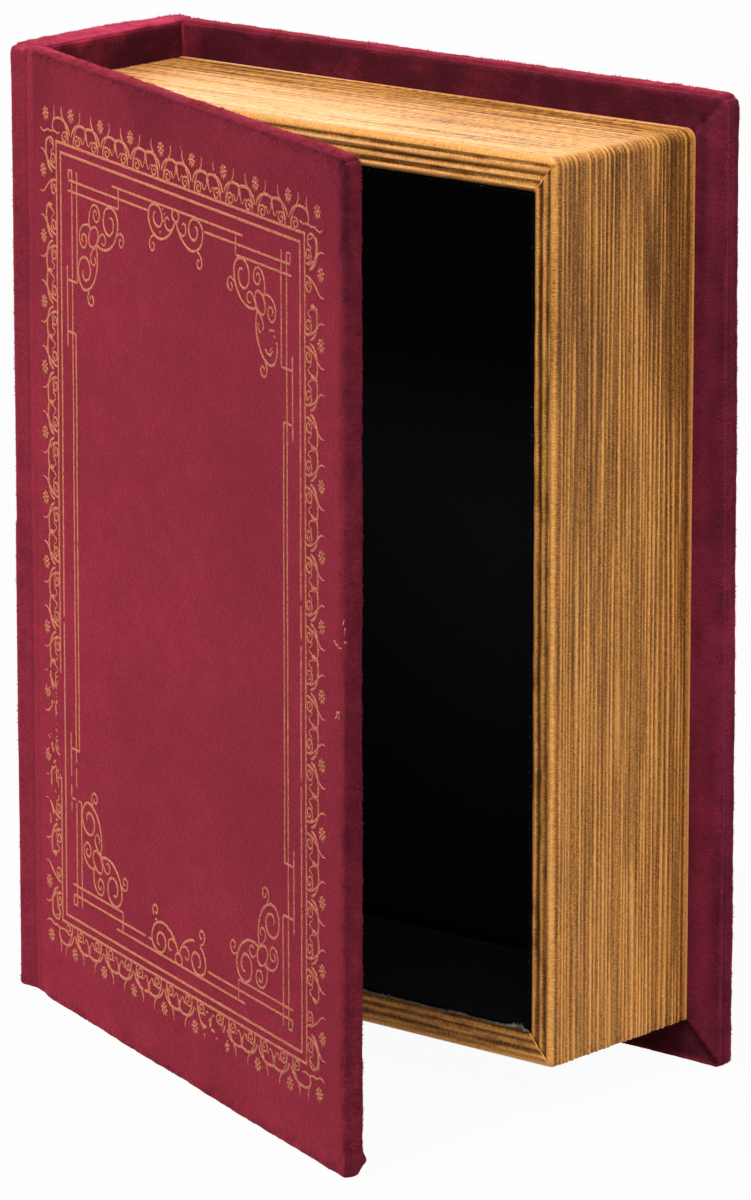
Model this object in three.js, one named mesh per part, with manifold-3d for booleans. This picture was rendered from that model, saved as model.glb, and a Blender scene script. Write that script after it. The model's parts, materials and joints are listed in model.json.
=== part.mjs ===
// A trinket box made like a bound book: velvet covers and spine round a tray whose outside is
// finished with gilt page-patterned paper. It stands on the tail edges of its covers, ajar.
//
// Millimetres, +Z up along the spine. The closed book lies with its spine towards -X, its front
// cover towards -Y and its back cover towards +Y. The origin is the middle of its footprint.

import * as THREE from "three";
import { mergeVertices } from "three/addons/utils/BufferGeometryUtils.js";
import Module from "manifold-3d";

const wasm = await Module();
wasm.setup();

// The closed book
const BOOK_HEIGHT = 265; // head to tail of the covers
const BOOK_WIDTH = 197; // edge of the spine to the covers' fore edge
const BOOK_THICKNESS = 68.7; // outer face to outer face of the covers
const OPEN_ANGLE = 22.5; // how far the front cover stands open, in degrees

// Covers: a board inside a velvet wrap that is turned in on the inner face
const BOARD = 3.0;
const BOARD_EASE = 0.4; // radius of a board's cut edges
const VELVET = 0.7;
const GLUE = 0.3; // room for the glue between two touching pieces
const COVER_CORNER = 3.0; // radius of a cover's corners, seen from the front
const COVER_EASE = 1.8; // radius of a cover's edges
const TURN_IN = 16; // width of the velvet that is turned in
const COVER_LINING = 0.7;

// Spine: flat inside and rounded outside
const SPINE_THICKNESS = 6.1; // at its front and back edges
const SPINE_BULGE = 4.2; // how far its middle stands out beyond them
const SPINE_SETBACK = 0.4; // of its edges, behind the covers' outer faces
const SPINE_CORNER = 1.8;
const SPINE_EASE = 1.5; // radius of its head and tail edges

// Hinge: the velvet that folds between the spine and the front cover
const HINGE_LAP = 3.0; // glued to each side of the fold
const HINGE_END_GAP = 0.5; // from its ends to the head and the tail

// Tray: four walls and a floor
const SQUARE_FORE = 10.1; // how far the covers reach beyond the tray
const SQUARE_HEAD = 10.1;
const SQUARE_TAIL = 11.6;
const RIM_FORE = 7.4; // width of the rim round the opening
const RIM_HEAD = 9.6;
const RIM_TAIL = 8.1;
const RIM_SPINE = 7.4;
const RIM_CLEARANCE = 0.4; // between the rim and the closed front cover
const TRAY_FLOOR = 2.0;
const FELT = 1.0;

// Page paper: a band round three sides of the tray, turned over onto the rim
const PAPER = 0.5;
const PAGE_CORNER = 3.0; // radius at the fore edge's head and tail
const PAGE_EASE = 2.0; // radius where it turns onto the rim

const COVER_THICKNESS = BOARD + 2 * (VELVET + GLUE);
const COVER_LENGTH = BOOK_WIDTH - SPINE_THICKNESS;
const RIM_Y = COVER_THICKNESS + RIM_CLEARANCE;
const BACK_INNER_Y = BOOK_THICKNESS - COVER_THICKNESS;
const TRAY_BACK_Y = BACK_INNER_Y - GLUE;
const OPEN_RADIANS = THREE.MathUtils.degToRad(OPEN_ANGLE);

// Outside of the tray, and the opening inside its rim
const TRAY = {
  x0: SPINE_THICKNESS + GLUE,
  x1: BOOK_WIDTH - SQUARE_FORE,
  z0: SQUARE_TAIL,
  z1: BOOK_HEIGHT - SQUARE_HEAD,
};
const MOUTH = {
  x0: TRAY.x0 + RIM_SPINE,
  x1: TRAY.x1 - RIM_FORE,
  z0: TRAY.z0 + RIM_TAIL,
  z1: TRAY.z1 - RIM_HEAD,
};
const BEYOND = 10; // how far a cutter reaches past what it cuts

function solid(geometry) {
  const bare = geometry.clone();
  bare.deleteAttribute("normal");
  bare.deleteAttribute("uv");
  const merged = mergeVertices(bare);
  return new wasm.Manifold(
    new wasm.Mesh({
      numProp: 3,
      vertProperties: merged.attributes.position.array,
      triVerts: new Uint32Array(merged.index.array),
    }),
  );
}

function geometryOf(manifold) {
  const mesh = manifold.getMesh();
  const geometry = new THREE.BufferGeometry();
  geometry.setAttribute("position", new THREE.BufferAttribute(mesh.vertProperties, 3));
  geometry.setIndex(new THREE.BufferAttribute(mesh.triVerts, 1));
  const faceted = geometry.toNonIndexed();
  faceted.computeVertexNormals();
  return faceted;
}

// A plain block between two corners
function block(x0, x1, y0, y1, z0, z1) {
  const geometry = new THREE.BoxGeometry(x1 - x0, y1 - y0, z1 - z0);
  return geometry.translate((x0 + x1) / 2, (y0 + y1) / 2, (z0 + z1) / 2);
}

// A slab whose broad faces lie square to Y, with rounded corners and eased edges
function slab(x0, x1, y0, y1, z0, z1, corner, ease) {
  const outline = new THREE.Shape();
  outline.moveTo(x0 + corner, z0);
  outline.lineTo(x1 - corner, z0);
  outline.absarc(x1 - corner, z0 + corner, corner, -Math.PI / 2, 0);
  outline.lineTo(x1, z1 - corner);
  outline.absarc(x1 - corner, z1 - corner, corner, 0, Math.PI / 2);
  outline.lineTo(x0 + corner, z1);
  outline.absarc(x0 + corner, z1 - corner, corner, Math.PI / 2, Math.PI);
  outline.lineTo(x0, z0 + corner);
  outline.absarc(x0 + corner, z0 + corner, corner, Math.PI, Math.PI * 1.5);
  const geometry = new THREE.ExtrudeGeometry(outline, {
    depth: y1 - y0 - 2 * ease,
    curveSegments: 5,
    bevelEnabled: ease > 0,
    bevelThickness: ease,
    bevelSize: ease,
    bevelOffset: -ease,
    bevelSegments: 3,
  });
  return geometry.rotateX(Math.PI / 2).translate(0, y1 - ease, 0);
}

// The spine's section, drawn in from its outside by `inset`
function spineSection(inset) {
  const y0 = SPINE_SETBACK + inset;
  const y1 = BOOK_THICKNESS - SPINE_SETBACK - inset;
  const inner = SPINE_THICKNESS - inset;
  const middle = BOOK_THICKNESS / 2;
  const halfChord = middle - SPINE_SETBACK;
  const radius = (halfChord ** 2 + SPINE_BULGE ** 2) / (2 * SPINE_BULGE) - inset;
  const centreX = radius + inset - SPINE_BULGE;
  const outerX = (y) => centreX - Math.sqrt(radius ** 2 - (y - middle) ** 2);
  const corner = Math.max(SPINE_CORNER - inset, 0.2);
  const reach = Math.asin((halfChord - inset - corner) / radius);
  const section = new THREE.Shape();
  section.moveTo(inner, y0);
  section.lineTo(inner, y1);
  section.lineTo(outerX(y1) + corner, y1);
  section.quadraticCurveTo(outerX(y1), y1, outerX(y1 - corner), y1 - corner);
  section.absarc(centreX, middle, radius, Math.PI - reach, Math.PI + reach);
  section.quadraticCurveTo(outerX(y0), y0, outerX(y0) + corner, y0);
  return section;
}

function spineSolid(inset, ease) {
  const geometry = new THREE.ExtrudeGeometry(spineSection(inset), {
    depth: BOOK_HEIGHT - 2 * (inset + ease),
    curveSegments: 12,
    bevelEnabled: ease > 0,
    bevelThickness: ease,
    bevelSize: ease,
    bevelOffset: -ease,
    bevelSegments: 3,
  });
  return geometry.translate(0, 0, inset + ease);
}

// Velvet pocket of a cover that lies between x0 and x1: closed all round its board but for a
// window in the inner face. innerSide is +1 where that face looks towards +Y, else -1.
function coverVelvet(x0, x1, y0, innerSide) {
  const y1 = y0 + COVER_THICKNESS;
  const outside = solid(slab(x0, x1, y0, y1, 0, BOOK_HEIGHT, COVER_CORNER, COVER_EASE));
  const hollow = solid(
    block(x0 + VELVET, x1 - VELVET, y0 + VELVET, y1 - VELVET, VELVET, BOOK_HEIGHT - VELVET),
  );
  const middle = (y0 + y1) / 2;
  const inner = middle + (innerSide * (COVER_THICKNESS + BEYOND)) / 2;
  const window = solid(
    block(
      x0 + TURN_IN,
      x1 - TURN_IN,
      Math.min(middle, inner),
      Math.max(middle, inner),
      TURN_IN,
      BOOK_HEIGHT - TURN_IN,
    ),
  );
  return outside.subtract(hollow).subtract(window);
}

function coverBoard(x0, x1, y0) {
  const skin = VELVET + GLUE;
  return slab(
    x0 + skin,
    x1 - skin,
    y0 + skin,
    y0 + skin + BOARD,
    skin,
    BOOK_HEIGHT - skin,
    COVER_CORNER - VELVET,
    BOARD_EASE,
  );
}

const VELVET_FINISH = { color: 0x8f303c, roughness: 0.95, metalness: 0 };
const BOARD_FINISH = { color: 0x9a8a72, roughness: 0.9, metalness: 0 };
const GILT_FINISH = { color: 0xc98a4b, roughness: 0.55, metalness: 0.3 };
const FELT_FINISH = { color: 0x0b0a0b, roughness: 1, metalness: 0 };

function piece(group, name, form, finish) {
  const geometry = form.isBufferGeometry ? form : geometryOf(form);
  const mesh = new THREE.Mesh(geometry, new THREE.MeshStandardMaterial(finish));
  mesh.name = name;
  group.add(mesh);
}

// Front cover, drawn closed with its hinge line at the group's origin
function frontCover() {
  const cover = new THREE.Group();
  const x0 = GLUE;
  const x1 = COVER_LENGTH;
  const hingeSeat = block(
    x0 - BEYOND,
    HINGE_LAP + GLUE,
    -BEYOND,
    VELVET + GLUE,
    -BEYOND,
    BOOK_HEIGHT + BEYOND,
  );
  const velvet = coverVelvet(x0, x1, 0, 1).subtract(solid(hingeSeat));
  const lining = block(
    x0 + TURN_IN + GLUE,
    x1 - TURN_IN - GLUE,
    COVER_THICKNESS - COVER_LINING,
    COVER_THICKNESS,
    TURN_IN + GLUE,
    BOOK_HEIGHT - TURN_IN - GLUE,
  );
  piece(cover, "front_velvet", velvet, VELVET_FINISH);
  piece(cover, "front_board", coverBoard(x0, x1, 0), BOARD_FINISH);
  piece(cover, "front_lining", lining, FELT_FINISH);
  cover.position.set(SPINE_THICKNESS, 0, 0);
  cover.rotation.z = -OPEN_RADIANS;
  return cover;
}

// Strip of velvet folded along the hinge line, one leg on the spine's edge, one on the cover
function hingeStrip() {
  const along = new THREE.Vector2(Math.cos(OPEN_RADIANS), -Math.sin(OPEN_RADIANS));
  const inward = new THREE.Vector2(Math.sin(OPEN_RADIANS), Math.cos(OPEN_RADIANS));
  const fold = new THREE.Vector2(SPINE_THICKNESS, 0);
  const onCover = (distance, depth) =>
    fold.clone().addScaledVector(along, distance).addScaledVector(inward, depth);
  const spineFace = SPINE_SETBACK;
  const section = new THREE.Shape([
    new THREE.Vector2(SPINE_THICKNESS - HINGE_LAP, spineFace),
    new THREE.Vector2(SPINE_THICKNESS - spineFace, spineFace),
    fold,
    onCover(HINGE_LAP, 0),
    onCover(HINGE_LAP, VELVET),
    onCover(VELVET, VELVET),
    new THREE.Vector2(SPINE_THICKNESS, spineFace + VELVET),
    new THREE.Vector2(SPINE_THICKNESS - HINGE_LAP, spineFace + VELVET),
  ]);
  const geometry = new THREE.ExtrudeGeometry(section, {
    depth: BOOK_HEIGHT - 2 * HINGE_END_GAP,
    bevelEnabled: false,
  });
  return geometry.translate(0, 0, HINGE_END_GAP);
}

function spine(group) {
  const hollow = solid(spineSolid(VELVET, 0));
  const window = block(
    SPINE_THICKNESS - VELVET - GLUE,
    SPINE_THICKNESS + BEYOND,
    RIM_Y + TURN_IN,
    BACK_INNER_Y - TURN_IN,
    TRAY.z0 + TURN_IN,
    TRAY.z1 - TURN_IN,
  );
  const hingeSeat = block(
    SPINE_THICKNESS - HINGE_LAP - GLUE,
    SPINE_THICKNESS + BEYOND,
    -BEYOND,
    SPINE_SETBACK + VELVET + GLUE,
    -BEYOND,
    BOOK_HEIGHT + BEYOND,
  );
  const velvet = solid(spineSolid(0, SPINE_EASE))
    .subtract(hollow)
    .subtract(solid(window))
    .subtract(solid(hingeSeat));
  piece(group, "spine_velvet", velvet, VELVET_FINISH);
  piece(group, "spine_board", spineSolid(VELVET + GLUE, 0), BOARD_FINISH);
  piece(group, "hinge_velvet", hingeStrip(), VELVET_FINISH);
}

function backCover(group) {
  const x0 = SPINE_THICKNESS + GLUE;
  const velvet = coverVelvet(x0, BOOK_WIDTH, BACK_INNER_Y, -1);
  piece(group, "back_velvet", velvet, VELVET_FINISH);
  piece(group, "back_board", coverBoard(x0, BOOK_WIDTH, BACK_INNER_Y), BOARD_FINISH);
}

// The tray's outer form, drawn in by `inset` on its three papered sides and on its rim
function trayForm(inset) {
  return solid(
    slab(
      TRAY.x0 - BEYOND,
      TRAY.x1 - inset,
      RIM_Y + inset,
      TRAY_BACK_Y + BEYOND,
      TRAY.z0 + inset,
      TRAY.z1 - inset,
      PAGE_CORNER - inset,
      PAGE_EASE - inset,
    ),
  );
}

function tray(group) {
  const { x0, x1, z0, z1 } = TRAY;
  const form = trayForm(PAPER + GLUE);
  const wall = (name, ax, bx, az, bz) =>
    piece(
      group,
      name,
      form.intersect(solid(block(ax, bx, RIM_Y, TRAY_BACK_Y, az, bz))),
      BOARD_FINISH,
    );
  wall("tray_head_wall", x0, x1, MOUTH.z1, z1);
  wall("tray_tail_wall", x0, x1, z0, MOUTH.z0);
  wall("tray_fore_edge_wall", MOUTH.x1, x1, MOUTH.z0 + GLUE, MOUTH.z1 - GLUE);
  wall("tray_spine_wall", x0, MOUTH.x0, MOUTH.z0 + GLUE, MOUTH.z1 - GLUE);
  const floor = block(
    MOUTH.x0 + GLUE,
    MOUTH.x1 - GLUE,
    TRAY_BACK_Y - TRAY_FLOOR,
    TRAY_BACK_Y,
    MOUTH.z0 + GLUE,
    MOUTH.z1 - GLUE,
  );
  piece(group, "tray_floor", floor, BOARD_FINISH);
}

function pagePaper(group) {
  const { x0, x1, z0, z1 } = TRAY;
  const reach = block(x0, x1 + BEYOND, RIM_Y - BEYOND, TRAY_BACK_Y, z0 - BEYOND, z1 + BEYOND);
  const mouth = block(MOUTH.x0, MOUTH.x1, RIM_Y - BEYOND, RIM_Y + BEYOND, MOUTH.z0, MOUTH.z1);
  const paper = trayForm(0)
    .intersect(solid(reach))
    .subtract(trayForm(PAPER))
    .subtract(solid(mouth));
  piece(group, "page_paper", paper, GILT_FINISH);
}

// Felt on the walls from the rim to the floor, and felt on the floor between them
function linings(group) {
  const bed = TRAY_BACK_Y - TRAY_FLOOR - GLUE;
  const x0 = MOUTH.x0 + GLUE;
  const x1 = MOUTH.x1 - GLUE;
  const z0 = MOUTH.z0 + GLUE;
  const z1 = MOUTH.z1 - GLUE;
  const inset = FELT + GLUE;
  const felt = (name, ...corners) => piece(group, name, block(...corners), FELT_FINISH);
  felt("head_lining", x0, x1, RIM_Y, bed, z1 - FELT, z1);
  felt("tail_lining", x0, x1, RIM_Y, bed, z0, z0 + FELT);
  felt("spine_lining", x0, x0 + FELT, RIM_Y, bed, z0 + inset, z1 - inset);
  felt("fore_edge_lining", x1 - FELT, x1, RIM_Y, bed, z0 + inset, z1 - inset);
  felt("floor_lining", x0 + inset, x1 - inset, bed - FELT, bed, z0 + inset, z1 - inset);
}

const book = new THREE.Group();
spine(book);
backCover(book);
tray(book);
pagePaper(book);
linings(book);
book.add(frontCover());

// Stand the book over the origin
const extent = new THREE.Box3().setFromObject(book, true);
const footprint = extent.getCenter(new THREE.Vector3());
book.position.set(-footprint.x, -footprint.y, -extent.min.z);

const box = new THREE.Group();
box.add(book);

export default box;
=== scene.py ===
"""Looks of the book-shaped trinket box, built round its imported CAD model.

Lengths are in millimetres until a mesh is made, in the row frame: +Z up along the spine, the
spine towards -X and the tray opening towards -Y.
"""
import json
import math

import bpy
import numpy as np
from mathutils import Matrix, Vector


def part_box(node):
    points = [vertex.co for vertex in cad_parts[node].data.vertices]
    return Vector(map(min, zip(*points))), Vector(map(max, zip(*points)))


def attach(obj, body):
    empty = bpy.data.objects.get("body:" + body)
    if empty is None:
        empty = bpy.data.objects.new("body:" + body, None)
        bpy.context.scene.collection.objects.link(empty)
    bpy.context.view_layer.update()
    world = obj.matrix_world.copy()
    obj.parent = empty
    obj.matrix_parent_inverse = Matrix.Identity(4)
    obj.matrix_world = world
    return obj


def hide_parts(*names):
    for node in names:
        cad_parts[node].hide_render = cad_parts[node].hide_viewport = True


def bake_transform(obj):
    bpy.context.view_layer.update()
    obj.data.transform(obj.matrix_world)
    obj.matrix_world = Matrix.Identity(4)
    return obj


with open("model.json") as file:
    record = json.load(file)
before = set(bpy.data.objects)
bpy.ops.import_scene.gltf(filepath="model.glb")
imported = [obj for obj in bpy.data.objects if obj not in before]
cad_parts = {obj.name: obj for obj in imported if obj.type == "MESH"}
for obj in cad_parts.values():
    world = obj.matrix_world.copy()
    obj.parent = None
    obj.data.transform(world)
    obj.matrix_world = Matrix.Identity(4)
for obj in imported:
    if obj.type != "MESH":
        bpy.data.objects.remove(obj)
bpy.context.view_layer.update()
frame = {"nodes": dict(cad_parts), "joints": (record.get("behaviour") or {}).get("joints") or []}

MM = 0.001
NODES = frame["nodes"]


def corners(node):
    """Lowest and highest corner of a CAD node, in millimetres."""
    low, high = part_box(node)
    return np.array(low) / MM, np.array(high) / MM


# Camera, at the photograph's place

CAMERA_AT = Vector((1.247271, -1.426511, 0.585921))
CAMERA_FORWARD = Vector((-0.62901449, 0.74071602, -0.23596728))
CAMERA_ROLL = math.radians(0.0146)
CAMERA_LENS = 218.95
SENSOR = 36.0


def make_camera():
    data = bpy.data.cameras.new("camera")
    data.sensor_width = SENSOR
    data.lens = CAMERA_LENS
    data.clip_start = 0.05
    data.clip_end = 60.0
    camera = bpy.data.objects.new("camera", data)
    right = CAMERA_FORWARD.cross(Vector((0, 0, 1))).normalized()
    up = right.cross(CAMERA_FORWARD).normalized()
    turn = Matrix.Rotation(CAMERA_ROLL, 3, CAMERA_FORWARD)
    axes = Matrix((turn @ right, turn @ up, -CAMERA_FORWARD)).transposed()
    camera.matrix_world = Matrix.Translation(CAMERA_AT) @ axes.to_4x4()
    bpy.context.scene.collection.objects.link(camera)
    bpy.context.scene.camera = camera


make_camera()


# Noise on a lattice, the same in every run

def lattice(cell, seed):
    """Even random values from 0 to 1 for whole-numbered cells."""
    mask = 0xFFFFFFFF
    mixed = (cell[..., 0] * 73856093) ^ (cell[..., 1] * 19349663)
    mixed = (mixed ^ (cell[..., 2] * 83492791) ^ (seed * 2654435761)) & mask
    mixed = ((mixed ^ (mixed >> 15)) * 2246822519) & mask
    mixed = ((mixed ^ (mixed >> 13)) * 3266489917) & mask
    return ((mixed ^ (mixed >> 16)) & 0xFFFFFF) / 0xFFFFFF


def noise(points, size, seed):
    """Smooth noise from -1 to 1 whose bumps are about `size` across, which may differ by axis."""
    scaled = np.asarray(points, float) / np.asarray(size, float)
    base = np.floor(scaled).astype(np.int64)
    part = scaled - base
    part = part * part * (3 - 2 * part)
    total = np.zeros(scaled.shape[:-1])
    for corner in range(8):
        step = np.array([corner & 1, corner >> 1 & 1, corner >> 2 & 1])
        weight = np.where(step, part, 1 - part).prod(-1)
        total += weight * lattice(base + step, seed)
    return 2 * total - 1


def smoothstep(low, high, value):
    """Rises from 0 at `low` to 1 at `high`, which may be the smaller of the two."""
    part = np.clip((value - low) / (high - low), 0, 1)
    return part * part * (3 - 2 * part)


def bell(value, middle, width):
    """1 in the middle, and falling away on both sides of it."""
    return np.exp(-(((value - middle) / width) ** 2))


def xyz(x, y, z=0.0):
    """Points from grids of their coordinates."""
    return np.stack(np.broadcast_arrays(x, y, z), -1)


def unit(vectors):
    return vectors / np.maximum(np.linalg.norm(vectors, axis=-1, keepdims=True), 1e-12)


# Meshes

def new_object(name, points, faces, body, smooth=True):
    """A mesh from points in millimetres, riding on a CAD body unless body is None."""
    mesh = bpy.data.meshes.new(name)
    mesh.from_pydata((np.asarray(points, float) * MM).tolist(), [], faces)
    mesh.validate()
    mesh.update()
    mesh.polygons.foreach_set("use_smooth", [smooth] * len(mesh.polygons))
    piece = bpy.data.objects.new(name, mesh)
    bpy.context.scene.collection.objects.link(piece)
    if body:
        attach(piece, body)
    return piece


def set_attribute(piece, name, values):
    """One number, or one vector, for each point of a mesh."""
    values = np.asarray(values, np.float32)
    if values.ndim == 1:
        attribute = piece.data.attributes.new(name, "FLOAT", "POINT")
        attribute.data.foreach_set("value", values)
    else:
        attribute = piece.data.attributes.new(name, "FLOAT_VECTOR", "POINT")
        attribute.data.foreach_set("vector", values.ravel())


def merged(parts):
    """Joins (points, faces) pairs into one."""
    points, faces, first = [], [], 0
    for some_points, some_faces in parts:
        points.append(np.asarray(some_points, float))
        faces += [[first + index for index in face] for face in some_faces]
        first += len(some_points)
    return np.concatenate(points), faces


def vertex_normals(points, quads):
    quads = np.asarray(quads)
    across = points[quads[:, 2]] - points[quads[:, 0]]
    along = points[quads[:, 3]] - points[quads[:, 1]]
    face_normals = np.cross(across, along)
    normals = np.zeros_like(points)
    for corner in range(4):
        np.add.at(normals, quads[:, corner], face_normals)
    return unit(normals)


def tube(sections, closed_path=False):
    """A closed skin through sections of points, each a closed loop: (stations, points, 3)."""
    stations, count = sections.shape[:2]
    index = np.arange(stations * count).reshape(stations, count)
    if closed_path:
        index = np.concatenate([index, index[:1]])
    after = np.roll(index, -1, axis=1)
    quads = np.stack([index[:-1], index[1:], after[1:], after[:-1]], -1).reshape(-1, 4)
    faces = quads.tolist()
    if not closed_path:
        faces += [index[0].tolist(), index[-1][::-1].tolist()]
    return sections.reshape(-1, 3), faces


def spikes(name, fibres, body):
    """A mesh of loose fibres, each a tip and three points round its foot: (fibres, 4, 3)."""
    faces = np.array([[0, 1, 2], [0, 2, 3], [0, 3, 1], [1, 3, 2]])
    faces = (faces + 4 * np.arange(len(fibres))[:, None, None]).reshape(-1, 3)
    return new_object(name, fibres.reshape(-1, 3), faces.tolist(), body)


def box_grid(lines):
    """The skin of a box, cut along the given lines of its three axes: points and quads."""
    counts = [len(line) for line in lines]
    on_skin = np.zeros(counts, bool)
    for axis in range(3):
        for side in (0, -1):
            on_skin[tuple(side if a == axis else slice(None) for a in range(3))] = True
    index = np.full(counts, -1)
    index[on_skin] = np.arange(on_skin.sum())
    cells = np.argwhere(on_skin)
    points = np.stack([np.asarray(lines[a])[cells[:, a]] for a in range(3)], 1)
    quads = []
    for axis in range(3):
        for side in (0, -1):
            sheet = np.take(index, side, axis=axis)
            around = [sheet[:-1, :-1], sheet[1:, :-1], sheet[1:, 1:], sheet[:-1, 1:]]
            outward = (side == -1) != (axis == 1)
            quads.append(np.stack(around if outward else around[::-1], -1).reshape(-1, 4))
    return points, np.concatenate(quads)


def eased(points, low, high, ease):
    """Rounds a box's edges. `ease` gives a radius for the low and the high side of each axis."""
    ease = np.asarray(ease, float)
    core = np.clip(points, low + ease[..., 0], high - ease[..., 1])
    away = points - core
    radius = np.where(away < 0, ease[..., 0], ease[..., 1])
    unit = away / radius
    length = np.maximum(np.linalg.norm(unit, axis=1), 1e-9)[:, None]
    return core + radius * unit / length


def round_corners(points, low, high, radii):
    """Rounds a slab's corners as seen along its second axis, with a radius for each X side.

    At the tail the radius is half of that.
    """
    rounded = points.copy()
    for edge_x, toward_x, head_radius in ((low[0], -1, radii[0]), (high[0], 1, radii[1])):
        for edge_z, toward_z, radius in ((low[2], -1, 0.5 * head_radius), (high[2], 1, head_radius)):
            out_x = radius - np.abs(points[:, 0] - edge_x)
            out_z = radius - np.abs(points[:, 2] - edge_z)
            near = (out_x > 1e-9) & (out_z > 1e-9)
            a, b = out_x[near], out_z[near]
            scale = np.maximum(a, b) / np.hypot(a, b)
            rounded[near, 0] = edge_x - toward_x * (radius - a * scale)
            rounded[near, 2] = edge_z - toward_z * (radius - b * scale)
    return rounded


# Sizes that the CAD model and its looks share

OPEN = math.radians(22.5)
HINGE = np.array(frame["joints"][0]["pos_m"][:2]) / MM
ALONG = np.array([math.cos(OPEN), -math.sin(OPEN), 0.0])
INWARD = np.array([math.sin(OPEN), math.cos(OPEN), 0.0])

HEIGHT = corners("spine_velvet")[1][2]
BACK_LOW, BACK_HIGH = corners("back_velvet")
SPINE_LOW, SPINE_HIGH = corners("spine_velvet")
THICKNESS = BACK_HIGH[1] - BACK_LOW[1]
GLUE = 0.3
COVER_START = GLUE
COVER_END = BACK_HIGH[0] - BACK_LOW[0] + COVER_START
CLOTH = 0.7
TURN_IN = 16.0
CORNER = 3.0

# The seat that the hinge cloth lies in, beside the fold
SEAT_DEPTH = 0.85
SEAT_WIDTH = 3.3

# How round the velvet's edges are: in general, at the tail, on the outer face and at the fore edge
EASE = 1.8
EASE_TAIL = 0.5
EASE_FACE = 1.2
EASE_FORE = 3.4


def cover_to_row(local):
    """From (along the cover, into its thickness, up) to the row frame."""
    placed = local[..., :1] * ALONG + local[..., 1:2] * INWARD
    placed[..., :2] += HINGE
    placed[..., 2] += local[..., 2]
    return placed


# Velvet covers

EDGE_LINES = np.array([0, 0.2, 0.45, 0.75, 1.1, 1.45, 1.8, 2.3, 2.9, 3.5, 4.1])
FLAP_STEP = 0.7
FACE_STEP = 1.9
LINES_THROUGH = 13
TURNED_IN_SWELL = 0.45


def cover_lines(low, high):
    """Grid lines along one side of a cover: close together over its edges and turn-ins."""
    flap = np.arange(EDGE_LINES[-1] + FLAP_STEP, TURN_IN - 0.3, FLAP_STEP)
    near = np.concatenate([EDGE_LINES, flap, [TURN_IN]])
    middle_count = int(round((high - low - 2 * TURN_IN) / FACE_STEP))
    middle = np.linspace(low + TURN_IN, high - TURN_IN, middle_count + 1)[1:-1]
    return np.concatenate([low + near, middle, high - near[::-1]])


def pulled_in(lines, low, high, skin):
    """The same lines for a box that is `skin` smaller on each side, with the turn-ins' ends kept."""
    return np.interp(
        lines,
        [low, low + TURN_IN, high - TURN_IN, high],
        [low + skin, low + TURN_IN, high - TURN_IN, high - skin],
    )


def velvet_wave(points, edge):
    """How far the pile stands out: a slow wave, and a finer roughness towards the edges."""
    slow = 0.16 * noise(points, 19, 11) + 0.07 * noise(points, 6.5, 12)
    fine = noise(points, (2.2, 2.2, 1.1), 13)
    return slow * (0.35 + 0.65 * edge) + fine * (0.02 + 0.09 * edge)


def edge_closeness(local, low, high):
    """1 on a cover's fore edge, head and tail, falling to 0 at 7 mm inside them."""
    inside = np.minimum(local[..., 2] - low[2], high[2] - local[..., 2])
    return 1 - smoothstep(0.5, 7.0, np.minimum(inside, high[0] - local[..., 0]))


def mitre_distance(local, low, high):
    """Distance from the folds that run inwards from a cover's corners, and from its edges."""
    from_x = np.minimum(local[:, 0] - low[0], high[0] - local[:, 0])
    from_z = np.minimum(local[:, 2] - low[2], high[2] - local[:, 2])
    return (from_x - from_z) / math.sqrt(2), np.minimum(from_x, from_z)


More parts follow.
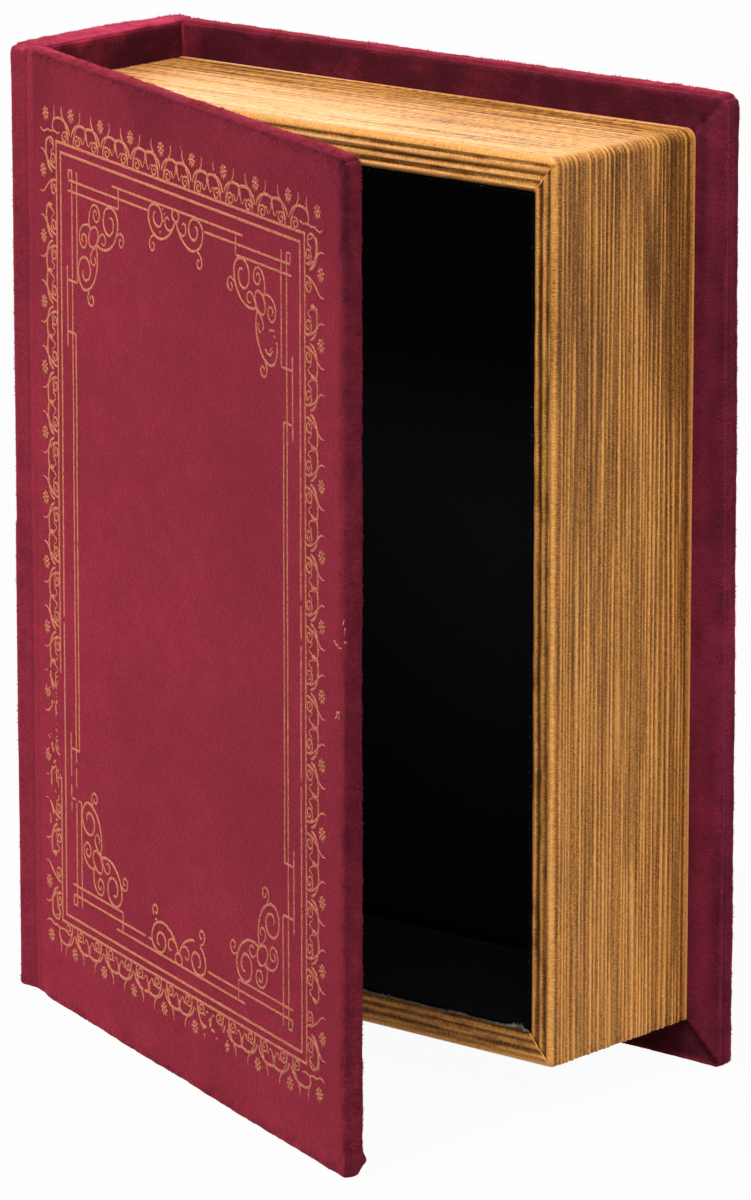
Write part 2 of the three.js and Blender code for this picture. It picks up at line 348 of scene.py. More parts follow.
def velvet_cover(low, high, inner_side, ease, corner_radii, seat):
    """The cloth round a cover's board, with turned-in edges and a window in the inner face.

    Returns its two skins and, for the points of the grid they were made from, what the looks
    go by. `inner_side` is +1 where the inner face looks towards the second axis' positive
    side, and `seat` is whether the hinge cloth lies on the cover.
    """
    through = np.linspace(low[1], high[1], LINES_THROUGH)
    lines = [cover_lines(low[0], high[0]), through, cover_lines(low[2], high[2])]
    flat, quads = box_grid(lines)
    inner_face = high[1] if inner_side > 0 else low[1]
    centre = flat[quads].mean(1)
    in_window = np.abs(centre[:, 1] - inner_face) < 1e-6
    for axis in (0, 2):
        in_window &= centre[:, axis] > low[axis] + TURN_IN
        in_window &= centre[:, axis] < high[axis] - TURN_IN
    quads = quads[~in_window]

    ease = np.broadcast_to(np.array(ease, float), (len(flat), 3, 2)).copy()
    if seat:
        fore = EASE_FACE + (EASE_FORE - EASE_FACE) * smoothstep(2, 20, flat[:, 2])
        ease[:, 0, 1] += (fore - ease[:, 0, 1]) * smoothstep(3.2, 1.4, flat[:, 1])
        ease[:, 1, 0] = np.where(flat[:, 2] < HEIGHT / 2, EASE_TAIL, EASE_FACE)
    outside = round_corners(eased(flat, low, high, ease), low, high, corner_radii)
    normals = vertex_normals(outside, quads)
    edge = edge_closeness(flat, low, high)
    rise = velvet_wave(outside, edge)

    on_inner = np.abs(flat[:, 1] - inner_face) < 1e-6
    side, depth = mitre_distance(flat, low, high)
    at_tail = flat[:, 2] < HEIGHT / 2
    far = smoothstep(2.5, 5.0, depth + 1.5 * at_tail)
    fold = bell(side, 0, 0.55) * far * (0.3 + 0.35 * at_tail)
    swell = bell(np.abs(side), 1.5, 1.1) * far
    at_fore_edge = flat[:, 0] > 0.5 * (low[0] + high[0])
    rise = rise + (on_inner & at_fore_edge) * (0.12 * swell - fold)
    rise = rise - 0.3 * on_inner * smoothstep(TURN_IN - 1.6, TURN_IN, depth)
    inwards = np.maximum(inner_side * normals[:, 1], 0)
    from_edge = np.minimum(high[0] - flat[:, 0], high[2] - flat[:, 2])
    rise = rise + TURNED_IN_SWELL * inwards * smoothstep(9, 2, from_edge)

    skin_lines = [
        pulled_in(lines[0], low[0], high[0], CLOTH),
        np.linspace(low[1] + CLOTH, high[1] - CLOTH, LINES_THROUGH),
        pulled_in(lines[2], low[2], high[2], CLOTH),
    ]
    inner_low, inner_high = low + CLOTH, high - CLOTH
    inner_ease = np.maximum(ease - CLOTH, 0.15)
    inner_radii = [max(radius - CLOTH, 0.2) for radius in corner_radii]
    inside = eased(box_grid(skin_lines)[0], inner_low, inner_high, inner_ease)
    inside = round_corners(inside, inner_low, inner_high, inner_radii)

    if seat:
        on_outer = np.abs(flat[:, 1] - low[1]) < 1e-6
        in_seat = 1 - smoothstep(SEAT_WIDTH - 0.4, SEAT_WIDTH + 0.2, flat[:, 0] - low[0])
        rise = rise * (1 - in_seat) - SEAT_DEPTH * in_seat * on_outer
        rise = rise + 0.5 * smoothstep(0.1, 1.0, normals[:, 2]) * smoothstep(1.0, 3.0, flat[:, 1])
        inside[:, 1] += SEAT_DEPTH * in_seat * on_outer
    outside = outside + normals * rise[:, None]
    outside[:, 2] = np.maximum(outside[:, 2], 0.0)
    return join_skins(outside, inside, quads), (flat, side, depth, edge, on_inner, normals)


def join_skins(outside, inside, quads):
    """Closes an outer and an inner skin of the same quads along their open edges."""
    used = np.unique(quads)
    renumber = np.full(len(outside), -1)
    renumber[used] = np.arange(len(used))
    outer = renumber[quads]
    count = len(used)
    edges = np.concatenate([outer[:, [a, (a + 1) % 4]] for a in range(4)])
    key = edges[:, 0] * count + edges[:, 1]
    twin = edges[:, 1] * count + edges[:, 0]
    border = edges[~np.isin(key, twin)]
    rim = np.stack([border[:, 1], border[:, 0], border[:, 0] + count, border[:, 1] + count], 1)
    faces = np.concatenate([outer, outer[:, ::-1] + count, rim])
    return np.concatenate([outside[used], inside[used]]), faces, used


FRONT_LOW = np.array([COVER_START, 0.0, 0.0])
FRONT_HIGH = np.array([COVER_END, THICKNESS, HEIGHT])


# Marks where the pile is pressed: along the cover, up, half-width, half-height, and how much
CRUSH_MARKS = [
    (78, 263, 8, 8, -3.0),
    (84, 255, 18, 9, -0.25),
    (5, 257, 14, 14, -0.8),
    (10, 246, 14, 16, -0.35),
    (116, 32, 9, 14, -0.2),
    (150, 252, 22, 9, -0.3),
    (118, 3, 12, 5, -0.3),
    (192, 255, 9, 26, -0.45),
    (130, 232, 40, 18, -0.12),
]


def marks(s, z, listed, power=2):
    """The sum of oval marks, with a sharper edge at a higher power."""
    total = np.zeros_like(s)
    for mark_s, mark_z, half_s, half_z, strength in listed:
        away = ((s - mark_s) / half_s) ** power + ((z - mark_z) / half_z) ** power
        total += strength * np.exp(-away)
    return total


def velvet_patches(points):
    """Slow patches where the pile leans one way or another, about -1 to 1."""
    return 0.16 * noise(points, (34, 50, 42), 21) + 0.1 * noise(points, 9, 22)


PILE_PER_SQUARE = 7.0
PILE_LENGTH = 0.75


def pile(name, points, quads, standing, nap_and_light, body, seed):
    """Loose fibres that stand out of a velvet skin, more of them where `standing` is near 1."""
    quads = np.asarray(quads)
    shape = points[quads]
    facing = np.cross(shape[:, 2] - shape[:, 0], shape[:, 3] - shape[:, 1]) / 2
    area = np.linalg.norm(facing, axis=1)
    clump = smoothstep(-0.9, 0.6, noise(shape.mean(1), 1.9, seed + 100))
    weight = area * np.clip(standing, 0, 1)[quads].mean(1) * clump
    random = np.random.RandomState(seed)
    count = int(weight.sum() * PILE_PER_SQUARE)
    picked = random.choice(len(quads), count, p=weight / weight.sum())
    u, v = random.rand(2, count, 1)
    corner = shape[picked]
    root = (corner[:, 0] * (1 - u) + corner[:, 1] * u) * (1 - v)
    root = root + (corner[:, 3] * (1 - u) + corner[:, 2] * u) * v
    out = facing[picked] / np.maximum(area[picked], 1e-9)[:, None]
    way = unit(out + random.normal(0, 0.5, (count, 3)))
    side = unit(np.cross(way, random.normal(0, 1, (count, 3))))
    other = np.cross(way, side)
    radius = random.uniform(0.07, 0.13, (count, 1))
    length = random.uniform(0.2, PILE_LENGTH, (count, 1)) * clump[picked][:, None]
    foot = root - 0.2 * out
    fibres = [root + length * way]
    for turn in (0, 2 * math.pi / 3, 4 * math.pi / 3):
        fibres.append(foot + radius * (math.cos(turn) * side + math.sin(turn) * other))
    fibres = np.stack(fibres, 1)
    lightness = nap_and_light[quads[picked]].mean(1) + random.normal(0.1, 0.25, count)
    above = fibres[..., 2].min(1) > 0.02
    piece = spikes(name, fibres[above], body)
    set_attribute(piece, "nap_and_light", np.repeat(lightness[above], 4))
    dress(piece, "burgundy_velvet")


def cover_pile(name, placed, skins, standing, nap_and_light, body, seed):
    """Pile on the outer skin of a cover, whose points are given where they stand in the row."""
    faces, used = skins[1:]
    outer = faces[(faces < len(used)).all(1)]
    pile(name, placed, outer, standing[used], nap_and_light[used], body, seed)


def head_painted_highlight(points, up, strength, least_up, most_up):
    """Painted highlight: how much lighter the pile is painted on an edge that looks up, where it catches the
    light.
    """
    near = smoothstep(HEIGHT - 9, HEIGHT - 3, points[..., 2])
    tufts = 1 + 0.35 * noise(points, (2.0, 2.0, 3.0), 24) + 0.25 * noise(points, 9, 25)
    return near * strength * tufts * smoothstep(least_up, most_up, up)


def head_painted_shade_line(z, up, strength):
    """Painted shade: the dark line just below such an edge, where its rounding turns from the light."""
    return strength * bell(up, 0.45, 0.25) * smoothstep(HEIGHT - 5.0, HEIGHT - 2.5, z)


def cover_nap(grid, fore_flap, other_flap):
    """How light the pile looks: slow patches, edges and the turn-ins' direction."""
    flat, side, _, edge, on_inner, _ = grid
    nap_and_light = velvet_patches(flat) + 0.22 * edge * noise(flat, 5, 23)
    on_fore = smoothstep(-1.0, 1.0, -side) * (flat[:, 0] > flat[:, 0].mean())
    return nap_and_light + on_inner * (on_fore * fore_flap + (1 - on_fore) * other_flap)


def both_skins(values, used):
    """The grid's values for the points of the outer and the inner skin."""
    return np.concatenate([values[used], values[used]])


def lay_flat_in_shade(piece, marked_faces):
    """Gives the marked faces the darker velvet, whose colours are those of pile that lies flat and of painted
    shade.
    """
    piece.data.materials.append(MATERIALS["shaded_flat_pile"])
    piece.data.polygons.foreach_set("material_index", marked_faces.astype(np.int32))
    piece.data.update()


def dress_cover(piece, skins, nap_and_light, shaded_flat_points):
    """A cover's velvet, with the darker velvet, for pile laid flat and painted shade, on the marked points of
    the outer skin.
    """
    faces, used = skins[1:]
    set_attribute(piece, "nap_and_light", both_skins(nap_and_light, used))
    dress(piece, "burgundy_velvet")
    lay_flat_in_shade(piece, (faces < len(used)).all(1) & both_skins(shaded_flat_points, used)[faces].all(1))


def make_front_velvet():
    ease = [[0.6, 1.3], [EASE_FACE, 1.3], [EASE_TAIL, EASE]]
    skins, grid = velvet_cover(FRONT_LOW, FRONT_HIGH, 1, ease, (0.6, CORNER), True)
    points, faces, used = skins
    flat, _, from_edge, _, on_inner, normals = grid

    s, depth, z = both_skins(flat, used).T
    corner = smoothstep(COVER_END - 9, COVER_END - 1.5, s)
    points[:, 0] += 1.9 * corner * bell(z, 0, 3.2) * bell(depth, 1.5, 2.6)
    points[:, 1] += 1.2 * corner * bell(z, 3.6, 2.0) * smoothstep(2.0, 4.6, depth)
    points[:, 1] -= 0.8 * smoothstep(6.0, 0.5, z) * smoothstep(1.5, 0.0, depth) * smoothstep(5.0, 12.0, s)
    points[:, 2] += 1.8 * corner * smoothstep(3.2, 5.0, depth) * smoothstep(4.0, 0.0, z)
    placed = cover_to_row(points)
    piece = new_object("front_cover_velvet", placed, faces.tolist(), "front_cover")

    s, depth, z = flat.T
    up = normals[:, 2]
    shade = 0.45 * smoothstep(HEIGHT - 34, HEIGHT - 5, z) * smoothstep(12, 45, s)
    shade = shade + 0.15 * smoothstep(COVER_END - 30, COVER_END - 8, s)
    shade = shade - 0.24 * smoothstep(120, 20, s) * smoothstep(260, 60, z)
    across = smoothstep(105, 135, s) * smoothstep(172, 150, s)
    shade = shade + 0.18 * across * smoothstep(40, 100, z) * smoothstep(235, 200, z)
    # Crush marks, less the shade and a painted shade line under the head edge
    on_face = marks(s, z, CRUSH_MARKS) - shade - head_painted_shade_line(z, up, 0.5)
    nap_and_light = cover_nap(grid, 0.1, -0.1) + on_face * smoothstep(2.4, 0.0, depth)
    strength = (0.35 + 0.75 * smoothstep(32, 5, s)) * smoothstep(1.5, 4.0, depth)
    strength = strength * smoothstep(COVER_END - 1.5, COVER_END - 9, s)
    # Painted highlight on the head edge, where it looks up into the light
    nap_and_light = nap_and_light + head_painted_highlight(flat, up, strength, 0.6, 0.95)
    at_end = s > COVER_END - 1e-6
    # Painted shade on the fore edge: lighter towards the tail but darker at its foot, and darker on its inner
    # rounding
    fore_shade = 0.25 * smoothstep(130, 40, z) - 0.1 - 0.5 * smoothstep(11, 3, z)
    nap_and_light = nap_and_light + at_end * ((1 - np.maximum(up, 0)) * fore_shade - 0.3 * smoothstep(3.6, 5.0, depth))

    dress_cover(piece, skins, nap_and_light, on_inner)
    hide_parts("front_velvet")
    standing = smoothstep(3.4, 0.6, from_edge) * smoothstep(3.5, 6.5, s)
    cover_pile("front_cover_pile", placed, skins, standing, nap_and_light, "front_cover", 71)


BACK_FORE_NAP = 0.9
BACK_HEAD_NAP = 0.0


def make_back_velvet():
    ease = [[0.6, EASE], [EASE, 0.6], [EASE_TAIL, EASE]]
    skins, grid = velvet_cover(BACK_LOW, BACK_HIGH, -1, ease, (0.6, CORNER + 1.0), False)
    points, faces, _ = skins
    flat, side, from_edge, _, on_inner, normals = grid

    x, z = points[:, 0].copy(), points[:, 2]
    fuller = 0.6 + 0.8 * smoothstep(240, 60, z)
    points[:, 0] += fuller * smoothstep(BACK_HIGH[0] - 12, BACK_HIGH[0] - 1, x)
    points[:, 0] -= 0.45 * smoothstep(BACK_LOW[0] + 3, BACK_LOW[0], x)
    piece = new_object("back_cover_velvet", points, faces.tolist(), "case")

    x, y, z = flat.T
    to_fore = BACK_HIGH[0] - x
    nap_and_light = cover_nap(grid, BACK_FORE_NAP, BACK_HEAD_NAP)
    # Painted highlight on the head edge, where it looks up into the light
    nap_and_light = nap_and_light + head_painted_highlight(flat, normals[:, 2], 0.65, 0.7, 1.0)
    # Streaks in the pile, with painted shade beside the pages; darker at the fore edge and lighter towards the
    # tail
    streaks_and_shade = 0.5 * noise(flat, (3.2, 3.2, 40), 35) + 0.35 * noise(flat, 7, 36)
    streaks_and_shade = streaks_and_shade - 0.35 * bell(to_fore, 9, 2.0) - 0.3 * smoothstep(5.0, 1.0, to_fore)
    streaks_and_shade = streaks_and_shade + 0.3 * smoothstep(230, 110, z) - 0.15
    # Crumples, and a painted highlight on the rounded edges of the turn-ins
    crumple_and_edge_highlight = 0.45 * noise(flat, 4.5, 37) + 0.5 * smoothstep(2.5, 1.0, from_edge)
    at_spine = marks(x, z, [(BACK_LOW[0] + 3, HEIGHT - 5, 4, 4, 0.9)])
    on_flap = on_inner & (from_edge > 1.0)
    nap_and_light = nap_and_light + on_flap * (np.where((side < 0) & (to_fore < TURN_IN), streaks_and_shade, crumple_and_edge_highlight) + at_spine)
    # Painted shade along the mitre fold at the fore edge's tail corner
    in_fold = on_flap & (z < HEIGHT / 2) & (x > 0)
    nap_and_light = nap_and_light - 1.6 * in_fold * bell(side, 0, 0.6) * smoothstep(15, 11, from_edge)
    at_fore = (to_fore < 1e-6) & (y < BACK_HIGH[1] - 0.5)
    nap_and_light = nap_and_light + at_fore * (BACK_FORE_NAP + streaks_and_shade)

    # The turn-ins, the fore edge's side and its rounding take the darker velvet: pile laid flat, and painted
    # shade
    dress_cover(piece, skins, nap_and_light, on_flap | at_fore | (on_inner & (to_fore < 1.01)))
    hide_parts("back_velvet")
    past = np.maximum(PAGE_LOW - flat, flat - PAGE_HIGH)[:, [0, 2]].max(1)
    at_pages = 0.5 * on_inner * bell(past, 0.5, 0.6)
    standing = np.maximum(smoothstep(3.4, 0.6, from_edge), at_pages)
    cover_pile("back_cover_pile", points, skins, standing, nap_and_light, "case", 72)


# Spine, flat inside and rounded outside

SPINE_THICKNESS = 6.1
SPINE_EDGE = SPINE_HIGH[0] - SPINE_THICKNESS
SPINE_STEPS = 12
# Painted light: the spine's strip beside the fold is painted lighter, to look as lit as the front cover beside
# it
SPINE_EDGE_PAINTED_LIGHT = 0.3
# Painted shade: how much darker the spine's inner face is painted, in the nook
SPINE_INNER_SHADE = 0.3
SPINE_ROUGHNESS = 0.15
# How strong the painted highlight on the spine's head edge is
SPINE_PAINTED_HIGHLIGHT = 1.4


def spine_bulge(y):
    """How far the spine's outer face stands out beyond its edges."""
    half = (SPINE_HIGH[1] - SPINE_LOW[1]) / 2
    bulge = SPINE_EDGE - SPINE_LOW[0]
    radius = (half**2 + bulge**2) / (2 * bulge)
    from_middle = np.clip(y - (SPINE_HIGH[1] + SPINE_LOW[1]) / 2, -half, half)
    return np.sqrt(radius**2 - from_middle**2) - (radius - bulge)


def make_spine_velvet():
    low = np.array([SPINE_EDGE, SPINE_LOW[1], 0.0])
    high = SPINE_HIGH
    half = np.concatenate([EDGE_LINES[:8], np.arange(3.2, (high[1] - low[1]) / 2, 1.6)])
    across = np.concatenate([low[1] + half, high[1] - half[::-1]])
    through = np.linspace(low[0], high[0], SPINE_STEPS + 1)
    flat, quads = box_grid([through, across, cover_lines(0.0, HEIGHT)])
    x, y, z = flat.T
    from_fold = y - low[1]
    to_end = np.minimum(z, HEIGHT - z)
    on_edge = np.abs(from_fold) < 1e-6
    on_inner = np.abs(x - high[0]) < 1e-6

    ease = np.array([[1.5, 0.6], [EASE_FACE, 0.6], [EASE_TAIL, EASE]])
    ease = np.broadcast_to(ease, (len(flat), 3, 2)).copy()
    ease[:, 1, 0] = np.where(z < HEIGHT / 2, EASE_TAIL, EASE_FACE)
    outside = eased(flat, low, high, ease)
    inner_share = (high[0] - outside[:, 0]) / SPINE_THICKNESS
    outside[:, 0] -= spine_bulge(outside[:, 1]) * inner_share
    normals = vertex_normals(outside, quads)
    edge = 1 - smoothstep(0.5, 7.0, to_end)
    rise = velvet_wave(outside, np.maximum(edge, SPINE_ROUGHNESS))
    rise = rise + 0.5 * smoothstep(0.3, 0.8, normals[:, 2]) * smoothstep(0.5, 6.0, from_fold)
    in_seat = smoothstep(high[0] - SEAT_WIDTH - 0.2, high[0] - SEAT_WIDTH + 0.4, x) * on_edge
    rise = rise * (1 - in_seat) - SEAT_DEPTH * in_seat
    points = outside + normals * rise[:, None]
    points[:, 2] = np.maximum(points[:, 2], 0.0)
    piece = new_object("spine_velvet_wrap", points, quads.tolist(), "case")

    nap_and_light = velvet_patches(xyz(x - HINGE[0], from_fold, z)) + 0.22 * edge * noise(flat, 5, 33)
    ragged = normals[:, 2] + 0.2 * noise(flat, (2.5, 2.5, 5), 26)
    # Painted highlight on the spine's head edge
    strength = SPINE_PAINTED_HIGHLIGHT * (0.4 + 0.5 * smoothstep(3, 30, from_fold))
    nap_and_light = nap_and_light + head_painted_highlight(flat, ragged, strength, 0.3, 0.8)
    # Crumples, and a painted highlight along the inner face's head edge
    crumple_and_edge_highlight = 0.8 * noise(flat, 9, 34) + 0.4 * noise(flat, 3.5, 38)
    crumple_and_edge_highlight = crumple_and_edge_highlight + smoothstep(3.8, 0.6, HEIGHT - z + 1.2 * noise(flat, 3, 39))
    # Painted light on the strip beside the fold; painted shade on the inner face, broken by its crumples and
    # its painted highlight at the head
    nap_and_light = nap_and_light + SPINE_EDGE_PAINTED_LIGHT * on_edge - (SPINE_INNER_SHADE - crumple_and_edge_highlight) * on_inner
    set_attribute(piece, "nap_and_light", nap_and_light)
    dress(piece, "burgundy_velvet")
    # The inner face takes the darker velvet: pile laid flat, and painted shade in the nook
    lay_flat_in_shade(piece, (on_inner & (to_end > 1.0))[quads].all(1))
    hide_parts("spine_velvet")

    standing = smoothstep(3.4, 0.6, np.minimum(to_end, high[1] - y)) * (1 - on_inner)
    on_bulge = smoothstep(SPINE_EDGE + 1.5, SPINE_EDGE, x)
    standing = np.maximum(standing, 0.5 * on_bulge * smoothstep(9, 4, from_fold))
    at_fold = smoothstep(high[0] - 5.5, high[0] - 3.5, x) * smoothstep(4, 1, from_fold)
    pile("spine_pile", points, quads, standing * (1 - at_fold), nap_and_light, "case", 73)


# Cloth over the fold between the spine and the front cover


def make_hinge_cloth():
    """One strip of velvet, pressed into the fold and let into the covers on both sides of it.

    Its points lie over those of the cover and the spine, so that no seam shows where it ends.
    """
    near = np.array([0.2, 0.4, 0.65, 0.95, 1.3, 1.7, 2.1])
    ending = np.array([-0.04, 0, 0.05])
    on_spine = SPINE_THICKNESS / SPINE_STEPS * np.arange(5, 10)
    on_cover = COVER_START + cover_lines(0.0, HEIGHT)[7:12]
    left = np.concatenate([near, on_spine[:-1], on_spine[-1] + ending])
    right = np.concatenate([near, on_cover[:-1], on_cover[-1] + ending])
    dive = np.zeros(len(left) + len(right) + 1)
    dive[[0, -1]] = 0.15

    levels = cover_lines(0.0, HEIGHT)
    radius = np.where(levels < HEIGHT / 2, EASE_TAIL, EASE)
    into = np.maximum(radius - np.minimum(levels, HEIGHT - levels), 0) / radius
    turn = np.radians([86, 73, 62, 52.5])
    turn = np.concatenate([turn, np.arctan(into), turn[::-1]])
    levels = np.concatenate([np.zeros(4), levels, np.full(4, HEIGHT)])
    radius = np.concatenate([np.full(4, EASE_TAIL), radius, np.full(4, EASE)])
    heights = radius * (1 - np.sin(turn))
    heights = np.where(levels > HEIGHT / 2, HEIGHT - heights, heights)
    heights = np.where(turn > 0, heights, levels)
    depth = np.where(levels < HEIGHT / 2, EASE_TAIL, EASE_FACE) * (1 - np.cos(turn))
    span, height = np.meshgrid(np.concatenate([-left[::-1], [0], right]), heights)
    distance = np.abs(span)

    def placed(span, lift):
        ramp = smoothstep(0, -4.4, span) * (SPINE_LOW[1] - HINGE[1])
        cover_side = span[..., None] * ALONG - lift[..., None] * INWARD
        points = np.where((span > 0)[..., None], cover_side, xyz(span, ramp - lift))
        points[..., :2] += HINGE
        points[..., 2] = height
        return points

    turned = (np.sin(turn) * np.sign(levels - HEIGHT / 2))[:, None]
    ground = xyz(span, 0.0, levels[:, None])
    cover_edge = edge_closeness(ground, FRONT_LOW, FRONT_HIGH)
    spine_edge = 1 - smoothstep(0.5, 7.0, np.minimum(levels, HEIGHT - levels))[:, None]
    cover_wave = velvet_wave(xyz(span, 0.0, height), cover_edge)
    there = xyz(span + HINGE[0], SPINE_LOW[1], height)
    spine_wave = velvet_wave(there, np.maximum(spine_edge, SPINE_ROUGHNESS))
    wave = np.where(span > 0, cover_wave, spine_wave) * smoothstep(0.3, 1.7, distance)
    fold = 0.1 * bell(span, 0, 0.9) - 0.06 * bell(span, 1.4, 0.8)
    rise = wave + 0.02 - dive + fold - depth[:, None]
    thickness = 0.12 + (CLOTH - 0.12) * smoothstep(3.6, 2.8, distance)
    inner = placed(span * 0.97, rise - thickness)[:, ::-1]
    sections = np.concatenate([placed(span, rise), inner], 1)
    points, faces = tube(sections[:, ::-1])
    piece = new_object("hinge_cloth", points, faces, None)

    on_spine = smoothstep(0.8, -0.8, span)
    # Slow patches, and a painted highlight on the head edge at the spine's side
    nap_and_light = velvet_patches(ground) + head_painted_highlight(ground, turned, 0.4 * SPINE_PAINTED_HIGHLIGHT * on_spine, 0.25, 0.7)
    # The spine's side of the strip painted lighter, like the strip beside it
    nap_and_light = nap_and_light + SPINE_EDGE_PAINTED_LIGHT * on_spine
    # A painted shade line under the head edge, on the cover's side
    nap_and_light = nap_and_light - head_painted_shade_line(levels[:, None], turned, 0.4) * (1 - on_spine)
    # Painted shade along the fold, on both sides of it
    nap_and_light = nap_and_light - 0.22 * bell(span, 0.7, 0.7) - 0.12 * bell(span, -2.0, 1.6)
    nap_and_light = np.concatenate([nap_and_light, nap_and_light[:, ::-1]], 1)[:, ::-1]
    set_attribute(piece, "nap_and_light", nap_and_light.ravel())
    dress(piece, "burgundy_velvet")
    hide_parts("hinge_velvet")
    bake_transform(piece)


# Page block: gilt paper embossed with ridges that run round head, fore edge and tail

PAGE_LOW, PAGE_HIGH = corners("page_paper")
PAGE_LOW = PAGE_LOW - np.array([0, 0, 0.4])
MOUTH_X = corners("tray_spine_wall")[1][0], corners("tray_fore_edge_wall")[0][0]
MOUTH_Z = corners("tray_tail_wall")[1][2], corners("tray_head_wall")[0][2]
PAPER = 0.5
PAGE_CORNER = 3.0
PAGE_EASE = 2.0
RIDGE_PITCH = 1.75
RIDGE_RELIEF = 0.36
RIM_PITCH = 2.4


def page_ridges(along, across):
    """Height of the embossed ridges, from 0 to 1: lines along the pages that come and go."""
    here = xyz(along, across)
    phase = across / RIDGE_PITCH + 0.55 * noise(here, (170, 3.6, 1), 40)
    number = np.floor(phase)
    at_line = xyz(along, number * 10)
    strength = noise(at_line, (30, 1, 1), 41) + 0.35 * noise(here, (45, 7, 1), 42)
    strength = 0.3 + 0.7 * smoothstep(-0.7, 0.6, strength)
    strength = np.maximum(strength, 0.8 * smoothstep(9, 6, across))
    width = 0.25 + 0.07 * noise(at_line, (40, 1, 1), 44)
    crest = strength * bell(phase, number + 0.5, width)
    hair = noise(here, (22, 0.42, 1), 43)
    return 0.7 * crest + 0.12 * (hair + 1)


def distance_gone(line):
    """How far each point of a line is along it."""
    return np.concatenate([[0], np.cumsum(np.linalg.norm(np.diff(line, axis=0), axis=1))])


def page_path():
    """Stations round head, fore edge and tail of the pages: x, z, and the way out from them."""
    x1 = PAGE_HIGH[0] - PAGE_CORNER
    z0, z1 = PAGE_LOW[2] + PAGE_CORNER, PAGE_HIGH[2] - PAGE_CORNER
    across = np.linspace(PAGE_LOW[0], x1, 110)
    arc = np.linspace(0, math.pi / 2, 9)[1:-1]

    def bend(z, out_x, out_z):
        return np.stack([x1 + PAGE_CORNER * out_x, z + PAGE_CORNER * out_z, out_x, out_z], 1)

    return np.concatenate([
        [(x, PAGE_HIGH[2], 0, 1) for x in across],
        bend(z1, np.sin(arc), np.cos(arc)),
        [(PAGE_HIGH[0], z, 1, 0) for z in np.linspace(z1, z0, 140)],
        bend(z0, np.cos(arc), -np.sin(arc)),
        [(x, PAGE_LOW[2], 0, -1) for x in across[::-1]],
    ])


def beside(rows, out, level):
    """Points at a distance out from each station of a path, and at a level along y."""
    x, z, out_x, out_z = rows.T[..., None]
    return xyz(x + out_x * out, level, z + out_z * out)


def page_band():
    """The outside of the pages, and the edge where the paper turns over onto the rim."""
    rows = page_path()
    gone = distance_gone(rows[:, :2])
    rim_y, back_y = PAGE_LOW[1], PAGE_HIGH[1]
    wide = back_y - rim_y
    flat_y = np.arange(back_y, rim_y + PAGE_EASE, -0.22)
    bend = np.linspace(0, math.pi / 2, 11)
    out = np.concatenate([np.zeros(len(flat_y)), PAGE_EASE * (np.cos(bend) - 1)])
    level = np.concatenate([flat_y, rim_y + PAGE_EASE * (1 - np.sin(bend))])
    reach = np.concatenate([flat_y - rim_y, PAGE_EASE * (1 - bend / (math.pi / 2)) + 0.2])
    lean_out = np.concatenate([np.ones(len(flat_y)), np.cos(bend)])
    lean_up = np.concatenate([np.zeros(len(flat_y)), np.sin(bend)])

    along, across = np.meshgrid(gone, reach, indexing="ij")
    height = page_ridges(along, across)
    on_head = np.maximum(rows[:, 3], 0)[:, None]
    on_fore = np.maximum(rows[:, 2], 0)[:, None]
    inside = smoothstep(1.8, 4.5, across) * smoothstep(wide - 0.8, wide - 2.5, across)
    flatter = 0.55 - 0.35 * smoothstep(90, 165, along)
    height = height + flatter * on_head * inside * (0.36 - height)
    first_crest = bell(across, 1.3 - 0.4 * on_fore, 1.2 - 0.35 * on_fore)
    height = height * (1 - first_crest) + 0.95 * first_crest
    height = height * (1 - (0.8 - 0.2 * on_fore) * bell(across, 3.3 - 0.9 * on_fore, 0.5))
    back_crest = bell(across, wide, 1.0)
    height = height * (1 - back_crest) + (0.95 - 0.08 * on_head) * back_crest
    height = height * (1 - 0.85 * bell(across, wide - 2.3, 0.75))
    lift = RIDGE_RELIEF * (height - 0.85)
    # Paler on the head, a painted sheen of the light above; on the fore edge paler towards the foot, a painted
    # reflection of the floor, and darker overall and in blotches higher up
    paler = on_head * inside * (0.08 + 0.36 * smoothstep(50, 12, across))
    paler = paler * (1 - 0.35 * smoothstep(80, 170, along))
    lower = smoothstep(PAGE_HIGH[2], PAGE_LOW[2], rows[:, 1])[:, None]
    upper_blotches = 0.3 * np.maximum(noise(xyz(along, across), (45, 8, 1), 45), 0) * (1 - lower)
    paler = paler + on_fore * (0.12 * lower - 0.1 - upper_blotches) - 0.28 * first_crest

    outer = beside(rows, out + lift * lean_out, level - lift * lean_up)
    at_tail = ((rows[:, 2] > 0) & (rows[:, 3] < 0))[:, None]
    sharper = at_tail * (PAGE_CORNER - 0.9) * smoothstep(0.3, 2.5, across)
    outer[..., 0] += sharper * (1 - rows[:, 2, None])
    outer[..., 2] += sharper * (-1 - rows[:, 3, None])
    back = bend[::-2]
    hidden_out = np.concatenate([PAGE_EASE * (np.cos(back) - 1) - PAPER * np.cos(back), [-PAPER]])
    hidden_level = np.concatenate([rim_y + PAGE_EASE - (PAGE_EASE - PAPER) * np.sin(back), [back_y]])
    sections = np.concatenate([outer, beside(rows, hidden_out, hidden_level)], 1)
    page = np.zeros(sections.shape)
    page[..., 0] = gone[:, None]
    page[:, : len(out), 1] = across
    page[:, : len(out), 2] = height + paler
    points, faces = tube(sections[:, ::-1])
    return points, faces, page[:, ::-1].reshape(-1, 3)


